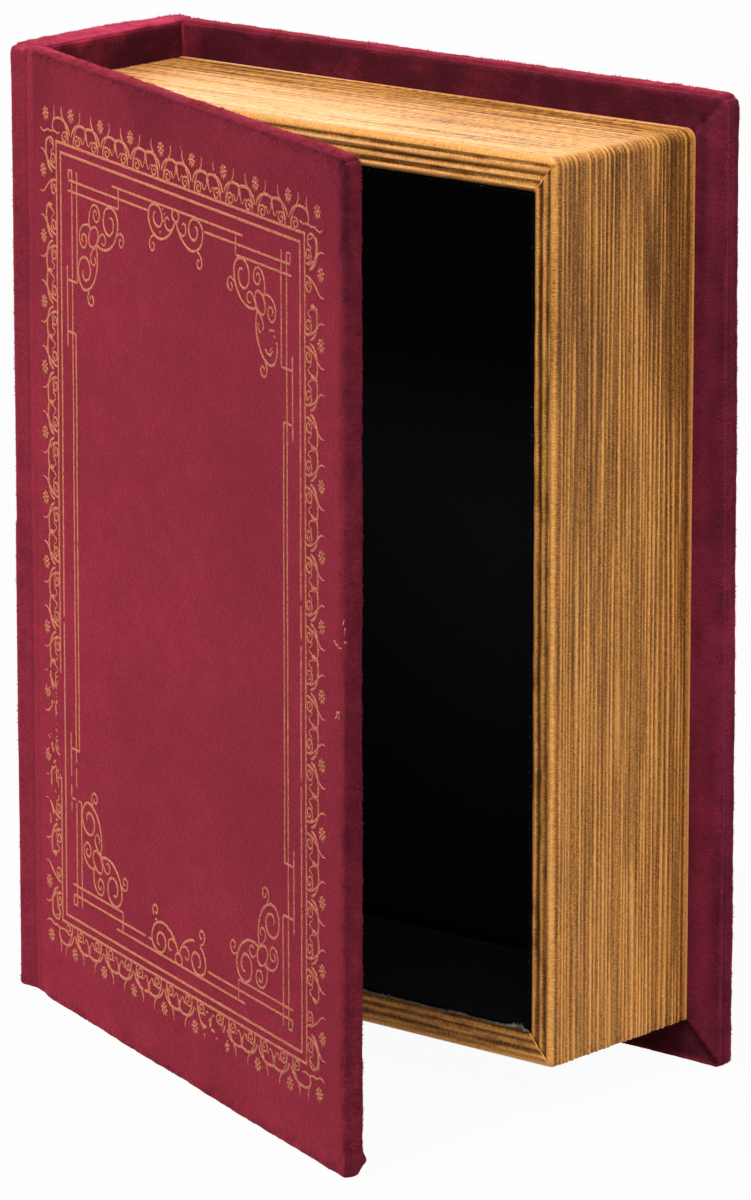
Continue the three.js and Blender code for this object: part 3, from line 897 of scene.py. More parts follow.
def rim_ridges(along, inset, width, strength, seed):
    """Height of the rim's wide ridges, 0 on their crests and -1 in the grooves between them."""
    here = xyz(along, inset)
    shift = 0.22 * noise(here, (45, 30, 1), seed)
    phase = (width - 1.2 - inset + shift) / RIM_PITCH
    wave = np.cos(2 * math.pi * phase)
    fade = 0.75 + 0.25 * noise(here, (60, 2.5, 1), seed + 1)
    hair = noise(here, (35, 0.45, 1), seed + 2)
    blot = np.maximum(noise(here, (5, 1.4, 1), seed + 5), 0)
    return 0.5 * strength * (wave - 1) * fade + 0.16 * hair - 0.3 * blot


def rim_strip(start, end, turn_in, widths, strength, shade, seed):
    """One side of the rim, mitred at both ends. Its outer line runs from start to end in x and z.

    `turn_in` points into the opening, and `widths` are those of the side before, of this one
    and of the side after. `shade` is how light the crests are. Beside the spine, where no bend
    of the paper comes before it, the strip reaches almost to its outer line.
    """
    start, end, turn_in = (np.array(v, float) for v in (start, end, turn_in))
    length = np.linalg.norm(end - start)
    way = (end - start) / length
    before, width, after = widths
    bend_end = PAGE_EASE - 0.35
    first = 0.1 if turn_in[0] > 0 else bend_end
    inset = np.concatenate([np.arange(first, width - 0.45, 0.16), width - np.array([0.4, 0.25, 0.1, 0.0])])
    share = np.linspace(0, 1, int(length / 1.6))[:, None]
    begin = np.maximum(inset * before / width, bend_end)
    finish = length - np.maximum(inset * after / width, bend_end)
    along = begin + share * (finish - begin)
    height = rim_ridges(along, inset, width, strength, seed)
    level = PAGE_LOW[1] - 0.06 - 0.42 * height + 0.35 * smoothstep(width - 0.5, width, inset) ** 2
    level = level + 0.25 * smoothstep(first + 0.45, first, inset)

    def placed(along, across, level):
        ground = start + along[..., None] * way + across[..., None] * turn_in
        return xyz(ground[..., 0], level, ground[..., 1])

    under = np.concatenate([along[:, [-1, -1, -1]], along[:, :1]], 1)
    under_inset = np.array([width, width - 0.25, width - 0.25, first])
    under_level = PAGE_LOW[1] + np.array([5, 5, 0.75, 0.75])
    sections = [placed(along, inset, level), placed(under, under_inset, under_level)]
    sections = np.concatenate(sections, 1)
    page = np.zeros(sections.shape)
    page[..., 0] = np.concatenate([along, under], 1) + 700 + seed
    page[:, : len(inset), 1] = inset
    page[:, : len(inset), 2] = shade + 1.15 * height
    points, faces = tube(sections)
    return points, faces, page.reshape(-1, 3)


def mitre_lip(outer, inner, seed):
    """The raised paper edge along a mitre of the rim, from its outer to its inner corner."""
    outer, inner = np.array(outer, float), np.array(inner, float)
    share = np.linspace(0.12, 1, 22)[:, None]
    here = xyz(share * 10, 0.0)
    swell = 0.75 + 0.35 * noise(here, (1.7, 1, 1), seed + 1)
    turn = np.linspace(0, 2 * math.pi, 8, endpoint=False)
    across = 0.18 * noise(here, (3, 1, 1), seed) + 0.26 * swell * np.cos(turn)
    level = PAGE_LOW[1] + 0.05 - 0.22 * swell * np.sin(turn)
    way_x, way_z = unit(inner - outer)
    x, z = (outer + share * (inner - outer)).T[..., None]
    points, faces = tube(xyz(x + way_z * across, level, z - way_x * across))
    page = xyz(share * 10 + 900, 0.0, np.full(len(turn), 0.62))
    return points, faces, page.reshape(-1, 3)


def make_pages():
    x0, x1, z0, z1 = PAGE_LOW[0], PAGE_HIGH[0], PAGE_LOW[2], PAGE_HIGH[2]
    m0, m1, n0, n1 = *MOUTH_X, *MOUTH_Z
    spine, fore, tail, head = m0 - x0, x1 - m1, n0 - z0, z1 - n1
    parts = [
        page_band(),
        rim_strip((x0, z1), (x1, z1), (0, -1), (spine, head, fore), 1.0, 0.95, 51),
        rim_strip((x1, z1), (x1, z0), (-1, 0), (head, fore, tail), 0.9, 0.74, 54),
        rim_strip((x1, z0), (x0, z0), (0, 1), (fore, tail, spine), 0.6, 0.53, 57),
        rim_strip((x0, z0), (x0, z1), (1, 0), (tail, spine, head), 0.7, 0.78, 60),
        mitre_lip((x1, z1), (m1, n1), 63),
        mitre_lip((x1, z0), (m1, n0), 65),
        mitre_lip((x0, z1), (m0, n1), 67),
        mitre_lip((x0, z0), (m0, n0), 69),
    ]
    points, faces = merged([part[:2] for part in parts])
    piece = new_object("page_block", points, faces, "case")
    set_attribute(piece, "page", np.concatenate([part[2] for part in parts]))
    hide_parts("page_paper")
    dress(piece, "gilt_page_paper")


# Felt in the tray and inside the front cover

FELT = 1.0
LINING = 0.7
TRAY_LOW, TRAY_HIGH = corners("spine_lining")[0], corners("fore_edge_lining")[1]
TRAY_TAIL, TRAY_HEAD = corners("tail_lining")[0][2], corners("head_lining")[1][2]


def rounded_path(x0, x1, z0, z1, radius, step):
    """Stations round a rectangle with rounded corners: x, z, and the way out from them."""
    arcs = []
    for x, z, first in (
        (x1 - radius, z1 - radius, 0),
        (x0 + radius, z1 - radius, 90),
        (x0 + radius, z0 + radius, 180),
        (x1 - radius, z0 + radius, 270),
    ):
        angle = np.radians(first + np.linspace(0, 90, 6))
        out = np.stack([np.cos(angle), np.sin(angle)], 1)
        arcs.append(np.concatenate([np.array([x, z]) + radius * out, out], 1))
    rows = []
    for number, arc in enumerate(arcs):
        ahead = arcs[(number + 1) % 4][0]
        run = np.linalg.norm(ahead[:2] - arc[-1, :2])
        share = np.linspace(0, 1, int(run / step) + 1)[1:-1, None]
        rows += [arc, arc[-1] * (1 - share) + ahead * share]
    return np.concatenate(rows)


def make_tray_felt():
    """The tray's felt: its four walls in one ring, with a soft lip at the mouth, and its floor."""
    front = PAGE_LOW[1]
    floor_low, floor_high = corners("floor_lining")
    half = FELT / 2
    x0, x1, z0, z1 = TRAY_LOW[0] + half, TRAY_HIGH[0] - half, TRAY_TAIL + half, TRAY_HEAD - half
    rows = rounded_path(x0, x1, z0, z1, 1.1, 3.0)
    deep = np.linspace(floor_high[1] - 0.3, front + 2.4, 18)
    lip = np.radians([0, 45, 90, 135, 180])
    level = np.concatenate([deep, front + 1.35 - half * np.sin(lip), deep[::-1]])
    out = np.concatenate([np.full(18, half), half * np.cos(lip), np.full(18, -half)])
    points = beside(rows, out, level)
    bulge = (out < 0) * (0.1 * noise(points, 11, 91) + 0.06 * noise(points, 3, 92))
    points = beside(rows, out + bulge, level)
    points[..., 1] += 0.18 * noise(points, 2.3, 93) * (level < front + 2.3)
    ring = tube(points, closed_path=True)

    lines = [
        np.linspace(floor_low[0] + 0.2, floor_high[0] - 0.2, 48),
        np.linspace(floor_low[1], floor_high[1], 2),
        np.linspace(floor_low[2] + 0.2, floor_high[2] - 0.2, 66),
    ]
    flat, quads = box_grid(lines)
    facing = flat[:, 1] < floor_low[1] + 0.1
    flat[:, 1] += facing * (0.12 * noise(flat, 24, 94) + 0.05 * noise(flat, 5, 95))
    points, faces = merged([ring, (flat, quads.tolist())])
    piece = new_object("tray_felt", points, faces, "case")
    dress(piece, "black_felt")
    walls = ("head_lining", "tail_lining", "spine_lining", "fore_edge_lining")
    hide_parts(*walls, "floor_lining")


def make_lip_fuzz():
    """Frayed felt and paper along the mouth of the tray, thickest at its tail."""
    x0, x1, z0, z1 = TRAY_LOW[0], TRAY_HIGH[0], TRAY_TAIL, TRAY_HEAD
    front = PAGE_LOW[1]
    random = np.random.RandomState(74)
    sides = [
        ((x0, z0), (x1, z0), (0, 1), 26.0, 1.0),
        ((x1, z0), (x1, z1), (-1, 0), 0.4, 0.3),
        ((x0, z1), (x1, z1), (0, -1), 0.4, 0.3),
        ((x0, z0), (x0, z1), (1, 0), 3.0, 0.35),
    ]
    parts = []
    for start, end, inwards, per_mm, longest in sides:
        start, end = np.array(start), np.array(end)
        length = np.linalg.norm(end - start)
        count = int(length * per_mm)
        share = random.rand(count, 1)
        here = xyz(share[:, 0] * length, 0.0)
        clump = smoothstep(-0.7, 0.6, noise(here, 3.5, 96) + 0.4 * noise(here, 1.1, 97))
        ground = start + share * (end - start)
        ground = ground + np.array(inwards) * random.uniform(-0.1, 0.35, (count, 1))
        root = xyz(ground[:, 0], front + random.uniform(-0.25, 0.3, count), ground[:, 1])
        towards = np.array([inwards[0], -0.35, inwards[1]])
        way = unit(towards + random.normal(0, 0.55, (count, 3)))
        side = unit(np.cross(way, random.normal(0, 1, (count, 3))))
        other = np.cross(way, side)
        reach = longest * (0.3 + 0.7 * clump[:, None]) * random.uniform(0.5, 1.3, (count, 1))
        if inwards == (0, 1):
            reach = reach * (0.8 + 0.9 * smoothstep(30, 4, (1 - share) * length))
        thick = random.uniform(0.05, 0.1, (count, 1))
        foot = [root + thick * side, root - thick * side, root + thick * other]
        parts.append(np.stack([root + reach * way, *foot], 1))
    fibres = np.concatenate(parts)
    fibres[..., 1] = np.maximum(fibres[..., 1], front - 0.12)
    piece = spikes("tray_lip_fuzz", fibres, "case")
    piece.data.materials.append(fuzz_material())


def make_front_felt():
    """The felt panel inside the front cover, crowned a little, with its edges tucked down."""
    z0, z1 = corners("front_lining")[0][2], corners("front_lining")[1][2]
    low = np.array([COVER_START + TURN_IN + GLUE, THICKNESS - LINING, z0])
    high = np.array([COVER_END - TURN_IN - GLUE, THICKNESS - 0.02, z1])
    near = np.array([0.3, 0.8, 1.6])
    lines = [np.linspace(low[axis], high[axis], count) for axis, count in enumerate((56, 4, 78))]
    for axis in (0, 2):
        lines[axis] = np.unique(np.concatenate([lines[axis], low[axis] + near, high[axis] - near]))
    flat, quads = box_grid(lines)
    points = eased(flat, low, high, [[0.6, 0.6], [0.05, 0.5], [0.6, 0.6]])
    facing = flat[:, 1] > high[1] - 1e-6
    points[:, 1] += facing * (0.1 * noise(flat, 26, 98) + 0.05 * noise(flat, 5, 99) - 0.05)
    piece = new_object("front_cover_felt", cover_to_row(points), quads.tolist(), "front_cover")
    dress(piece, "black_felt")
    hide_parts("front_lining")


# Gold ornament stamped on the front cover: s runs along the cover from the fold, z up from the tail

OUTER_RULE = {"left": 19.4, "right": 169.1, "tail": 24.4, "head": 242.6}
INNER_RULE = {"left": 22.1, "right": 166.4, "tail": 26.8, "head": 240.0}
RULE_WIDTH = 0.85
STRAP_WIDTH = 0.72
MIDDLE_S = 94.0
MIDDLE_Z = 133.5
FOIL_RISE = 0.11
FOIL_SINK = 0.22

# How far the print leans at its corners by the fold, its size for that, and where the lean ends
PRINT_LEAN = 0.5
PRINT_HALF_HEIGHT = 109
PRINT_WIDTH = 150
PRINT_END = 184

# Where the foil is worn: along the cover, up, half-width, half-height, and how much of it is gone
WORN = [
    (148.5, 211.5, 4.4, 3.0, 0.95),
    (178.5, 197, 2.6, 2.6, 1.2),
    (8.7, 51.7, 3, 3, 0.75),
    (14, 78, 6.5, 17, 0.42),
    (19.5, 80, 2, 16, 0.5),
    (29, 64, 4, 8, 0.3),
    (14, 57, 4, 6, 0.45),
    (112, 19, 13, 4.5, 0.36),
    (119, 16.4, 3, 3, 0.5),
    (104.6, 39.7, 1.7, 1.4, 1.2),
    (68, 21, 10, 4, 0.15),
    (174, 120, 8, 40, 0.1),
]


def foil_kept(s, z):
    """Whether the foil is still there, in patches of about a millimetre."""
    s, z = np.atleast_1d(s, z)
    here = xyz(s, z)
    patch = 0.5 + 0.38 * noise(here, 1.7, 81) + 0.22 * noise(here, 0.8, 82)
    return patch > marks(s, z, WORN, 4)


def on_front(s, z, lift):
    """Points at a height above the front cover's velvet, round its fore edge too."""
    lean = PRINT_LEAN * (z - MIDDLE_Z) / PRINT_HALF_HEIGHT * (OUTER_RULE["right"] - s) / PRINT_WIDTH
    flat = xyz(s + np.where(s < PRINT_END, lean, 0), 0.0, z)
    rise = velvet_wave(flat, edge_closeness(flat, FRONT_LOW, FRONT_HIGH))
    past = np.clip((flat[..., 0] - COVER_END) / EASE_FORE + 1, 0, 0.98)
    flat[..., 1] = EASE_FACE * (1 - np.sqrt(1 - past**2)) - rise - lift
    return cover_to_row(flat)


def flowing(points, step):
    """A smooth line through the given points, cut at even steps."""
    points = np.array(points, float)
    before = np.concatenate([[2 * points[0] - points[1]], points[:-1]])
    after = np.concatenate([points[1:], [2 * points[-1] - points[-2]]])
    tangent = (after - before) / 2
    line = []
    for i in range(len(points) - 1):
        count = max(int(np.linalg.norm(points[i + 1] - points[i]) / step), 1)
        t = np.linspace(0, 1, count, endpoint=False)[:, None]
        start_share = 2 * t**3 - 3 * t**2 + 1
        line.append(
            start_share * points[i]
            + (1 - start_share) * points[i + 1]
            + (t**3 - 2 * t**2 + t) * tangent[i]
            + (t**3 - t**2) * tangent[i + 1]
        )
    return np.concatenate([*line, points[-1:]])


def foil_stroke(line, width, start_share=1, end_share=1):
    """Thin raised lines of foil along a cut line, with a gap wherever the foil is worn away.

    The shares are how wide the stroke is at its start and end, as parts of its width.
    """
    s, z = line.T[..., None]
    way_s, way_z = unit(np.gradient(line, axis=0)).T[..., None]
    gone = distance_gone(line)
    share = start_share + (1 - start_share) * smoothstep(0, 1.6, gone)
    share = share * (end_share + (1 - end_share) * smoothstep(0, 2.4, gone[-1] - gone))
    half = width / 2 * share * (1 + 0.16 * noise(xyz(*line.T), 0.9, 83))
    reach = np.array([-1, -0.55, 0.55, 1, 0])
    lift = np.array([0.0, FOIL_RISE, FOIL_RISE, 0.0, -FOIL_SINK])
    parts = []
    kept = foil_kept(*line.T).astype(int)
    edges = np.flatnonzero(np.diff(np.concatenate([[0], kept, [0]])))
    for first, last in zip(edges[::2], edges[1::2]):
        if last - first < 2:
            continue
        run = slice(first, last)
        end = np.ones(last - first)
        end[[0, -1]] = 0.45
        across = (half[run] * end)[:, None] * reach
        sections = on_front(s[run] - way_z[run] * across, z[run] + way_s[run] * across, lift)
        parts.append(tube(sections))
    return parts


def drawn(shape, place, width, start_share=1, end_share=1, step=0.36):
    """A stroke that flows through a shape's points, which `place` takes to the cover."""
    points = [place(*point) for point in shape]
    return foil_stroke(flowing(points, step), width, start_share, end_share)


def straight(s0, z0, s1, z1):
    count = max(int(math.hypot(s1 - s0, z1 - z0) / 0.7), 2)
    share = np.linspace(0, 1, count + 1)[:, None]
    return np.array([s0, z0]) * (1 - share) + np.array([s1, z1]) * share


def foil_spot(s, z, half_long, half_wide, turn, lift=FOIL_RISE):
    """A small raised spot of foil, oval, with its long way at an angle."""
    angle = np.linspace(0, 2 * math.pi, 9)[:-1]
    along, across = half_long * np.cos(angle), half_wide * np.sin(angle)
    rim_s = s + along * math.cos(turn) - across * math.sin(turn)
    rim_z = z + along * math.sin(turn) + across * math.cos(turn)
    lifts = np.array([0.0] * 8 + [lift, -FOIL_SINK])
    faces = []
    for i in range(8):
        faces += [[i, (i + 1) % 8, 8], [(i + 1) % 8, i, 9]]
    return on_front(np.append(rim_s, [s, s]), np.append(rim_z, [z, z]), lifts), faces


PETALS = 8


def flower(s, z, turn):
    """An eight-petalled rosette of foil."""
    parts = []
    for petal in range(PETALS):
        angle = turn + 2 * math.pi * petal / PETALS
        petal_s, petal_z = s + 1.35 * math.cos(angle), z + 1.35 * math.sin(angle)
        if foil_kept(petal_s, petal_z):
            parts.append(foil_spot(petal_s, petal_z, 0.74, 0.47, angle))
    if foil_kept(s, z):
        parts.append(foil_spot(s, z, 0.72, 0.72, 0, FOIL_RISE * 1.3))
    return parts


# The lace outside the rules, drawn from a flower (u = 0) to halfway to the next, v outwards
HALF_UNIT = 9.3
ARCH = [(0.4, 2.6), (1.3, 4.4), (3.1, 5.7), (5.8, 6.35), (8.2, 6.15), (9.35, 5.75)]
TENDRIL = [(1.7, 0.2), (1.7, 2.2), (2.6, 4.1), (4.1, 6.0), (5.4, 7.4), (5.9, 8.7), (5.75, 10.0)]
CURL = [
    (1.75, 1.4), (2.5, 2.85), (3.8, 3.3), (5.1, 2.8), (5.5, 1.7),
    (4.7, 0.75), (3.5, 0.85), (3.0, 1.75), (3.7, 2.3), (4.35, 1.9),
]
CUP = [(4.9, 2.7), (5.7, 3.2), (6.4, 2.9), (6.8, 2.1), (7.5, 1.7), (8.2, 2.3), (8.6, 3.3), (9.1, 4.2)]

# From the middle between two flowers: the stem under the arch and the buds on it
NECK = [(0.1, 3.4), (-0.25, 4.2), (0.2, 5.0), (0.0, 5.8)]
BUDS = [(0.0, 4.3, 1.1), (0.25, 3.4, 0.65), (-0.2, 5.2, 0.55)]

# The corner of the lace, from the corner of the outer rule: inwards along a row, and outwards
CORNER_ROW = [(8.5, 2.7), (6.4, 5.4), (3.1, 6.55), (0.2, 6.4), (-1.6, 5.6), (-2.2, 4.2), (-2.0, 2.6)]
CORNER_UPRIGHT = [(-2.1, 4.4), (-1.6, 5.9), (-1.05, 7.6), (-1.2, 9.6)]
CORNER_WAVE = [
    (-10.3, 2.5), (-8.6, 1.7), (-7.0, 1.9), (-5.4, 2.5), (-3.6, 2.3), (-1.4, 2.7), (0.9, 2.35), (2.6, 2.9),
]
CORNER_HOOK = [
    (2.9, 9.0), (5.2, 6.6), (6.4, 4.0), (6.4, 1.5), (5.2, 0.0), (3.4, -0.5), (2.0, 0.4), (1.8, 2.0), (2.5, 3.0),
]

# Scrolls in the strapwork's corners, from the middle of their ring, right and up
SCROLL_SMALL = [
    (-2.4, 1.6), (-2.75, 4.3), (-1.9, 7.1), (0.1, 8.8), (2.6, 8.6), (3.9, 6.7),
    (3.1, 4.9), (1.3, 4.5), (0.1, 5.8), (0.6, 7.2), (1.8, 7.3), (2.2, 6.3),
]
SCROLL_LARGE = [
    (2.0, -1.8), (5.4, -2.4), (9.3, -1.8), (12.9, 0.5), (15.0, 3.9), (15.1, 7.0), (13.0, 9.3), (9.7, 9.7),
    (7.1, 8.0), (6.4, 5.2), (7.5, 2.9), (10.0, 2.1), (12.0, 3.3), (12.6, 5.4), (11.6, 6.9), (9.9, 6.8),
]
SCROLL_HOOK = [(2.4, -1.8), (3.6, 0.4), (5.4, 1.8), (7.2, 1.3), (7.6, -0.3), (6.3, -1.2), (5.3, -0.6)]
SCROLL_TAIL = [
    (15.0, 2.9), (16.8, 3.8), (18.5, 3.1), (18.9, 1.4), (17.6, 0.2), (16.3, 0.9), (16.6, 2.2), (17.6, 2.0),
]
RING_TILT = math.radians(42)

# The double scroll in the middle of the head and tail straps, its right half, from its ring
DOUBLE_LARGE = [
    (0.1, -1.4), (1.8, -3.9), (4.6, -6.2), (8.6, -7.6), (12.1, -7.3), (15.1, -5.6), (16.4, -2.9), (15.8, -0.4),
    (13.3, 1.0), (10.5, 0.9), (8.5, -0.7), (8.1, -2.9), (9.5, -4.4), (11.7, -4.5), (13.2, -3.1), (13.0, -1.4),
    (11.8, -0.9),
]
DOUBLE_HOOK = [(2.0, -3.9), (4.2, -4.6), (6.0, -3.7), (6.2, -2.0), (5.0, -1.2), (3.8, -1.9)]
DOUBLE_TAIL = [
    (13.2, -7.3), (15.0, -8.2), (15.9, -10.0), (15.0, -11.4),
    (13.5, -11.4), (12.9, -10.2), (13.7, -9.3), (14.6, -9.8),
]


def ellipse(s, z, half_s, half_z, tilt=0.0):
    turn = np.linspace(0, 2 * math.pi, 41)
    along, across = half_s * np.cos(turn), half_z * np.sin(turn)
    ring_s = s + along * math.cos(tilt) - across * math.sin(tilt)
    ring_z = z + along * math.sin(tilt) + across * math.cos(tilt)
    return np.stack([ring_s, ring_z], 1)


def lace_half(place, length, with_arch):
    """Half a unit of the lace beside a flower. `place` takes u and v to the cover."""
    stretch = length / HALF_UNIT
    at = lambda u, v: place(u * stretch, v)
    parts = drawn(TENDRIL, at, 0.64, 1, 0.4)
    parts += drawn(CURL, at, 0.62, 1, 0.8, step=0.3)
    if with_arch:
        parts += drawn(ARCH, at, 0.9, 0.8)
        parts += drawn(CUP, at, 0.42, 0.8)
    return parts


def lace_side(flowers, place_on, spread):
    """The lace along one side: its flowers, and the arches between them."""
    parts = []
    for number, here in enumerate(flowers):
        turn = 0.3 + 0.5 * math.sin(5.0 * number)
        s, z = place_on(here, 8.2 * spread)
        parts += flower(s, z, turn)
        for way in (-1, 1):
            is_last = not 0 <= number + way < len(flowers)
            length = HALF_UNIT if is_last else abs(flowers[number + way] - here) / 2
            at = lambda u, v, here=here, way=way: place_on(here + way * u, v * spread)
            parts += lace_half(at, length, not is_last)
        if number + 1 < len(flowers):
            middle = (here + flowers[number + 1]) / 2
            between = lambda u, v, middle=middle: place_on(middle + u, v * spread)
            parts += drawn(NECK, between, 0.7)
            for u, v, size in BUDS:
                s, z = between(u, v)
                if foil_kept(s, z):
                    parts.append(foil_spot(s, z, size, 0.75 * size, 2.0 * v))
    return parts


def lace_corner(s, z, inward, outward, row_reach, column_reach, flower_at):
    """The lace round a corner of the outer rule. inward and outward are the signs of s and z."""
    across = row_reach / 8.9
    down = column_reach / 9.1
    row = lambda u, v: (s + inward * u * (across if u > 0 else 1), z + outward * v)
    column = lambda v, u: (s - inward * v, z - outward * u * (down if u > 0 else 1))
    parts = drawn(CORNER_ROW, row, 0.8, 0.8, 0.9)
    parts += drawn(CORNER_UPRIGHT, row, 0.6, 1, 0.45)
    parts += drawn(CORNER_WAVE, row, 0.62, 0.5, 0.8)
    parts += drawn(CORNER_HOOK, column, 0.75, 0.9, 0.8)
    return parts + flower(*flower_at, 0.2)


def scroll_cluster(s, z, right, up):
    """The scrolls in one corner of the strapwork; right and up are the signs of its directions."""
    place = lambda a, b: (s + right * a, z + up * b)
    mirrored = lambda a, b: (s - right * b, z - up * a)
    parts = foil_stroke(ellipse(s, z, 3.4, 2.45, right * up * RING_TILT), 0.75)
    for at in (place, mirrored):
        parts += drawn(SCROLL_SMALL, at, 0.7, 1, 0.7)
        parts += drawn(SCROLL_LARGE, at, 0.82, 1, 0.7)
        parts += drawn(SCROLL_HOOK, at, 0.62, 1, 0.7)
        parts += drawn(SCROLL_TAIL, at, 0.65, 1, 0.7)
    return parts


def double_scroll(s, z, up):
    """The pair of scrolls in the middle of the head or tail strap, beside their ring."""
    parts = foil_stroke(ellipse(s, z, 2.1, 1.6), 0.7)
    for right in (-1, 1):
        place = lambda a, b, right=right: (s + right * a, z + up * b)
        parts += drawn(DOUBLE_LARGE, place, 0.82, 1, 0.7)
        parts += drawn(DOUBLE_HOOK, place, 0.62, 1, 0.7)
        parts += drawn(DOUBLE_TAIL, place, 0.65, 1, 0.7)
    return parts


def straps():
    """The double lines of the strapwork, one quarter drawn and set out four times."""
    quarter = [
        (27.0, 233.2, 77.1, 233.2),
        (26.4, 230.35, 58.75, 230.35),
        (58.6, 230.35, 58.6, 236.0),
        (54.6, 236.0, MIDDLE_S, 236.0),
        (27.1, 233.2, 27.1, 236.2),
        (27.1, 236.0, 29.5, 236.0),
        (29.2, 236.2, 29.2, MIDDLE_Z),
        (32.3, 236.2, 32.3, 205.9),
        (25.9, 205.9, 32.4, 205.9),
        (26.0, 209.8, 26.0, 187.4),
        (25.9, 191.7, 31.4, 191.7),
        (31.2, 191.9, 31.2, MIDDLE_Z),
    ]
    parts = []
    for right in (1, -1):
        for up in (1, -1):
            for s0, z0, s1, z1 in quarter:
                ends = [MIDDLE_S + right * (s0 - MIDDLE_S), MIDDLE_Z + up * (z0 - MIDDLE_Z)]
                ends += [MIDDLE_S + right * (s1 - MIDDLE_S), MIDDLE_Z + up * (z1 - MIDDLE_Z)]
                parts += foil_stroke(straight(*ends), STRAP_WIDTH)
    return parts


def rule(box):
    left, right, tail, head = box["left"], box["right"], box["tail"], box["head"]
    past = RULE_WIDTH / 2
    sides = [
        (left - past, head, right + past, head),
        (left - past, tail, right + past, tail),
        (left, tail - past, left, head + past),
        (right, tail - past, right, head + past),
    ]
    return [part for side in sides for part in foil_stroke(straight(*side), RULE_WIDTH)]


# Foil that missed its place: along the cover, up, half-length, half-width, and its turn
STRAY_FOIL = [
    (185.6, 140.4, 1.0, 0.35, -0.5), (186.6, 139.8, 1.1, 0.5, -0.1), (188.2, 139.4, 1.1, 0.25, 0.1),
    (190.2, 141.3, 0.55, 0.4, 0.3), (190.1, 144.0, 1.3, 0.3, 1.4), (189.9, 146.3, 1.0, 0.25, 1.3),
    (187.0, 122.1, 1.1, 0.65, 0.3), (186.1, 120.9, 1.0, 0.35, 0.5), (187.6, 121.0, 0.6, 0.4, 1.2),
    (189.2, 122.2, 0.9, 0.25, 0.2), (190.0, 116.0, 0.6, 0.35, 0.2), (189.4, 117.8, 0.5, 0.3, 1.0),
    (84.6, 234.4, 0.6, 0.4, 0.4), (85.4, 233.2, 0.8, 0.55, 1.3), (86.2, 231.9, 0.7, 0.5, 0.2),
    (85.9, 235.1, 0.5, 0.35, 0.0), (84.9, 230.6, 0.6, 0.45, 0.9), (84.3, 228.6, 0.5, 0.4, 0.3),
    (86.9, 233.9, 0.6, 0.3, 0.6), (96.8, 253.1, 0.28, 0.2, 0.0), (48.4, 255.4, 0.2, 0.15, 0.0),
    (39.6, 5.1, 0.3, 0.25, 0.0), (150.3, 214.3, 2.2, 0.35, 0.05), (149.5, 209.2, 1.2, 0.3, 0.6),
]


def make_ornament():
    parts = rule(OUTER_RULE) + rule(INNER_RULE) + straps()
    left, right = OUTER_RULE["left"], OUTER_RULE["right"]
    tail, head = OUTER_RULE["tail"], OUTER_RULE["head"]
    head_flowers = np.linspace(28.8, 159.8, 8)
    tail_flowers = np.linspace(27.3, 159.5, 8)
    side_flowers = np.linspace(233.5, 33.5, 12)
    parts += lace_side(head_flowers, lambda u, v: (u, head + v), 1.0)
    parts += lace_side(tail_flowers, lambda u, v: (u, tail - v), 0.98)
    parts += lace_side(side_flowers, lambda u, v: (left - v, u), 1.04)
    parts += lace_side(side_flowers, lambda u, v: (right + v, u), 1.1)
    drop = head - side_flowers[0]
    rise = side_flowers[-1] - tail
    parts += lace_corner(left, head, 1, 1, head_flowers[0] - left, drop, (12.7, 249.2))
    parts += lace_corner(right, head, -1, 1, right - head_flowers[-1], drop, (176.3, 249.2))
    parts += lace_corner(left, tail, 1, -1, tail_flowers[0] - left, rise, (12.0, 18.3))
    parts += lace_corner(right, tail, -1, -1, right - tail_flowers[-1], rise, (176.3, 18.2))
    parts += scroll_cluster(42.8, 220.2, 1, 1)
    parts += scroll_cluster(143.6, 220.3, -1, 1)
    parts += scroll_cluster(42.6, 46.8, 1, -1)
    parts += scroll_cluster(143.6, 46.8, -1, -1)
    parts += double_scroll(93.6, 234.5, 1)
    parts += double_scroll(93.1, 32.5, -1)
    parts += [foil_spot(*spot) for spot in STRAY_FOIL]
    points, faces = merged(parts)
    gilding = new_object("front_cover_gilding", points, faces, "front_cover")
    s = (points[:, :2] - HINGE) @ ALONG[:2]
    set_attribute(gilding, "dull", 0.07 * smoothstep(90, 165, s))
    gilding.data.materials.append(foil_material())


# Materials

def shader(name, roughness, **constants):
    """A new material, its nodes, and its Principled shader with the given constant sockets."""
    material = bpy.data.materials.new(name)
    material.use_nodes = True
    tree = material.node_tree
    principled = tree.nodes["Principled BSDF"]
    principled.inputs["Roughness"].default_value = roughness
    for socket, value in constants.items():
        principled.inputs[socket.replace("_", " ")].default_value = value
    return material, tree, principled


def node(tree, kind, inputs=(), **settings):
    made = tree.nodes.new(kind)
    for name, value in settings.items():
        setattr(made, name, value)
    for key, value in dict(inputs).items():
        if isinstance(value, bpy.types.NodeSocket):
            tree.links.new(value, made.inputs[key])
        else:
            made.inputs[key].default_value = value
    return made


def object_point(tree, scale=(1, 1, 1)):
    """Object coordinates, stretched by `scale`."""
    coordinates = node(tree, "ShaderNodeTexCoord")
    mapped = node(tree, "ShaderNodeMapping", {"Vector": coordinates.outputs["Object"], "Scale": scale})
    return mapped.outputs["Vector"]


def grain(tree, vector, size, detail=2.0, roughness=0.5):
    """Noise whose bumps are about `size` millimetres across."""
    inputs = {"Vector": vector, "Scale": 1 / (size * MM), "Detail": detail, "Roughness": roughness}
    return node(tree, "ShaderNodeTexNoise", inputs).outputs["Fac"]


def maths(tree, operation, *operands, clamp=False):
    """One step of arithmetic, with numbers or other nodes' results."""
    made = node(tree, "ShaderNodeMath", enumerate(operands), operation=operation, use_clamp=clamp)
    return made.outputs["Value"]


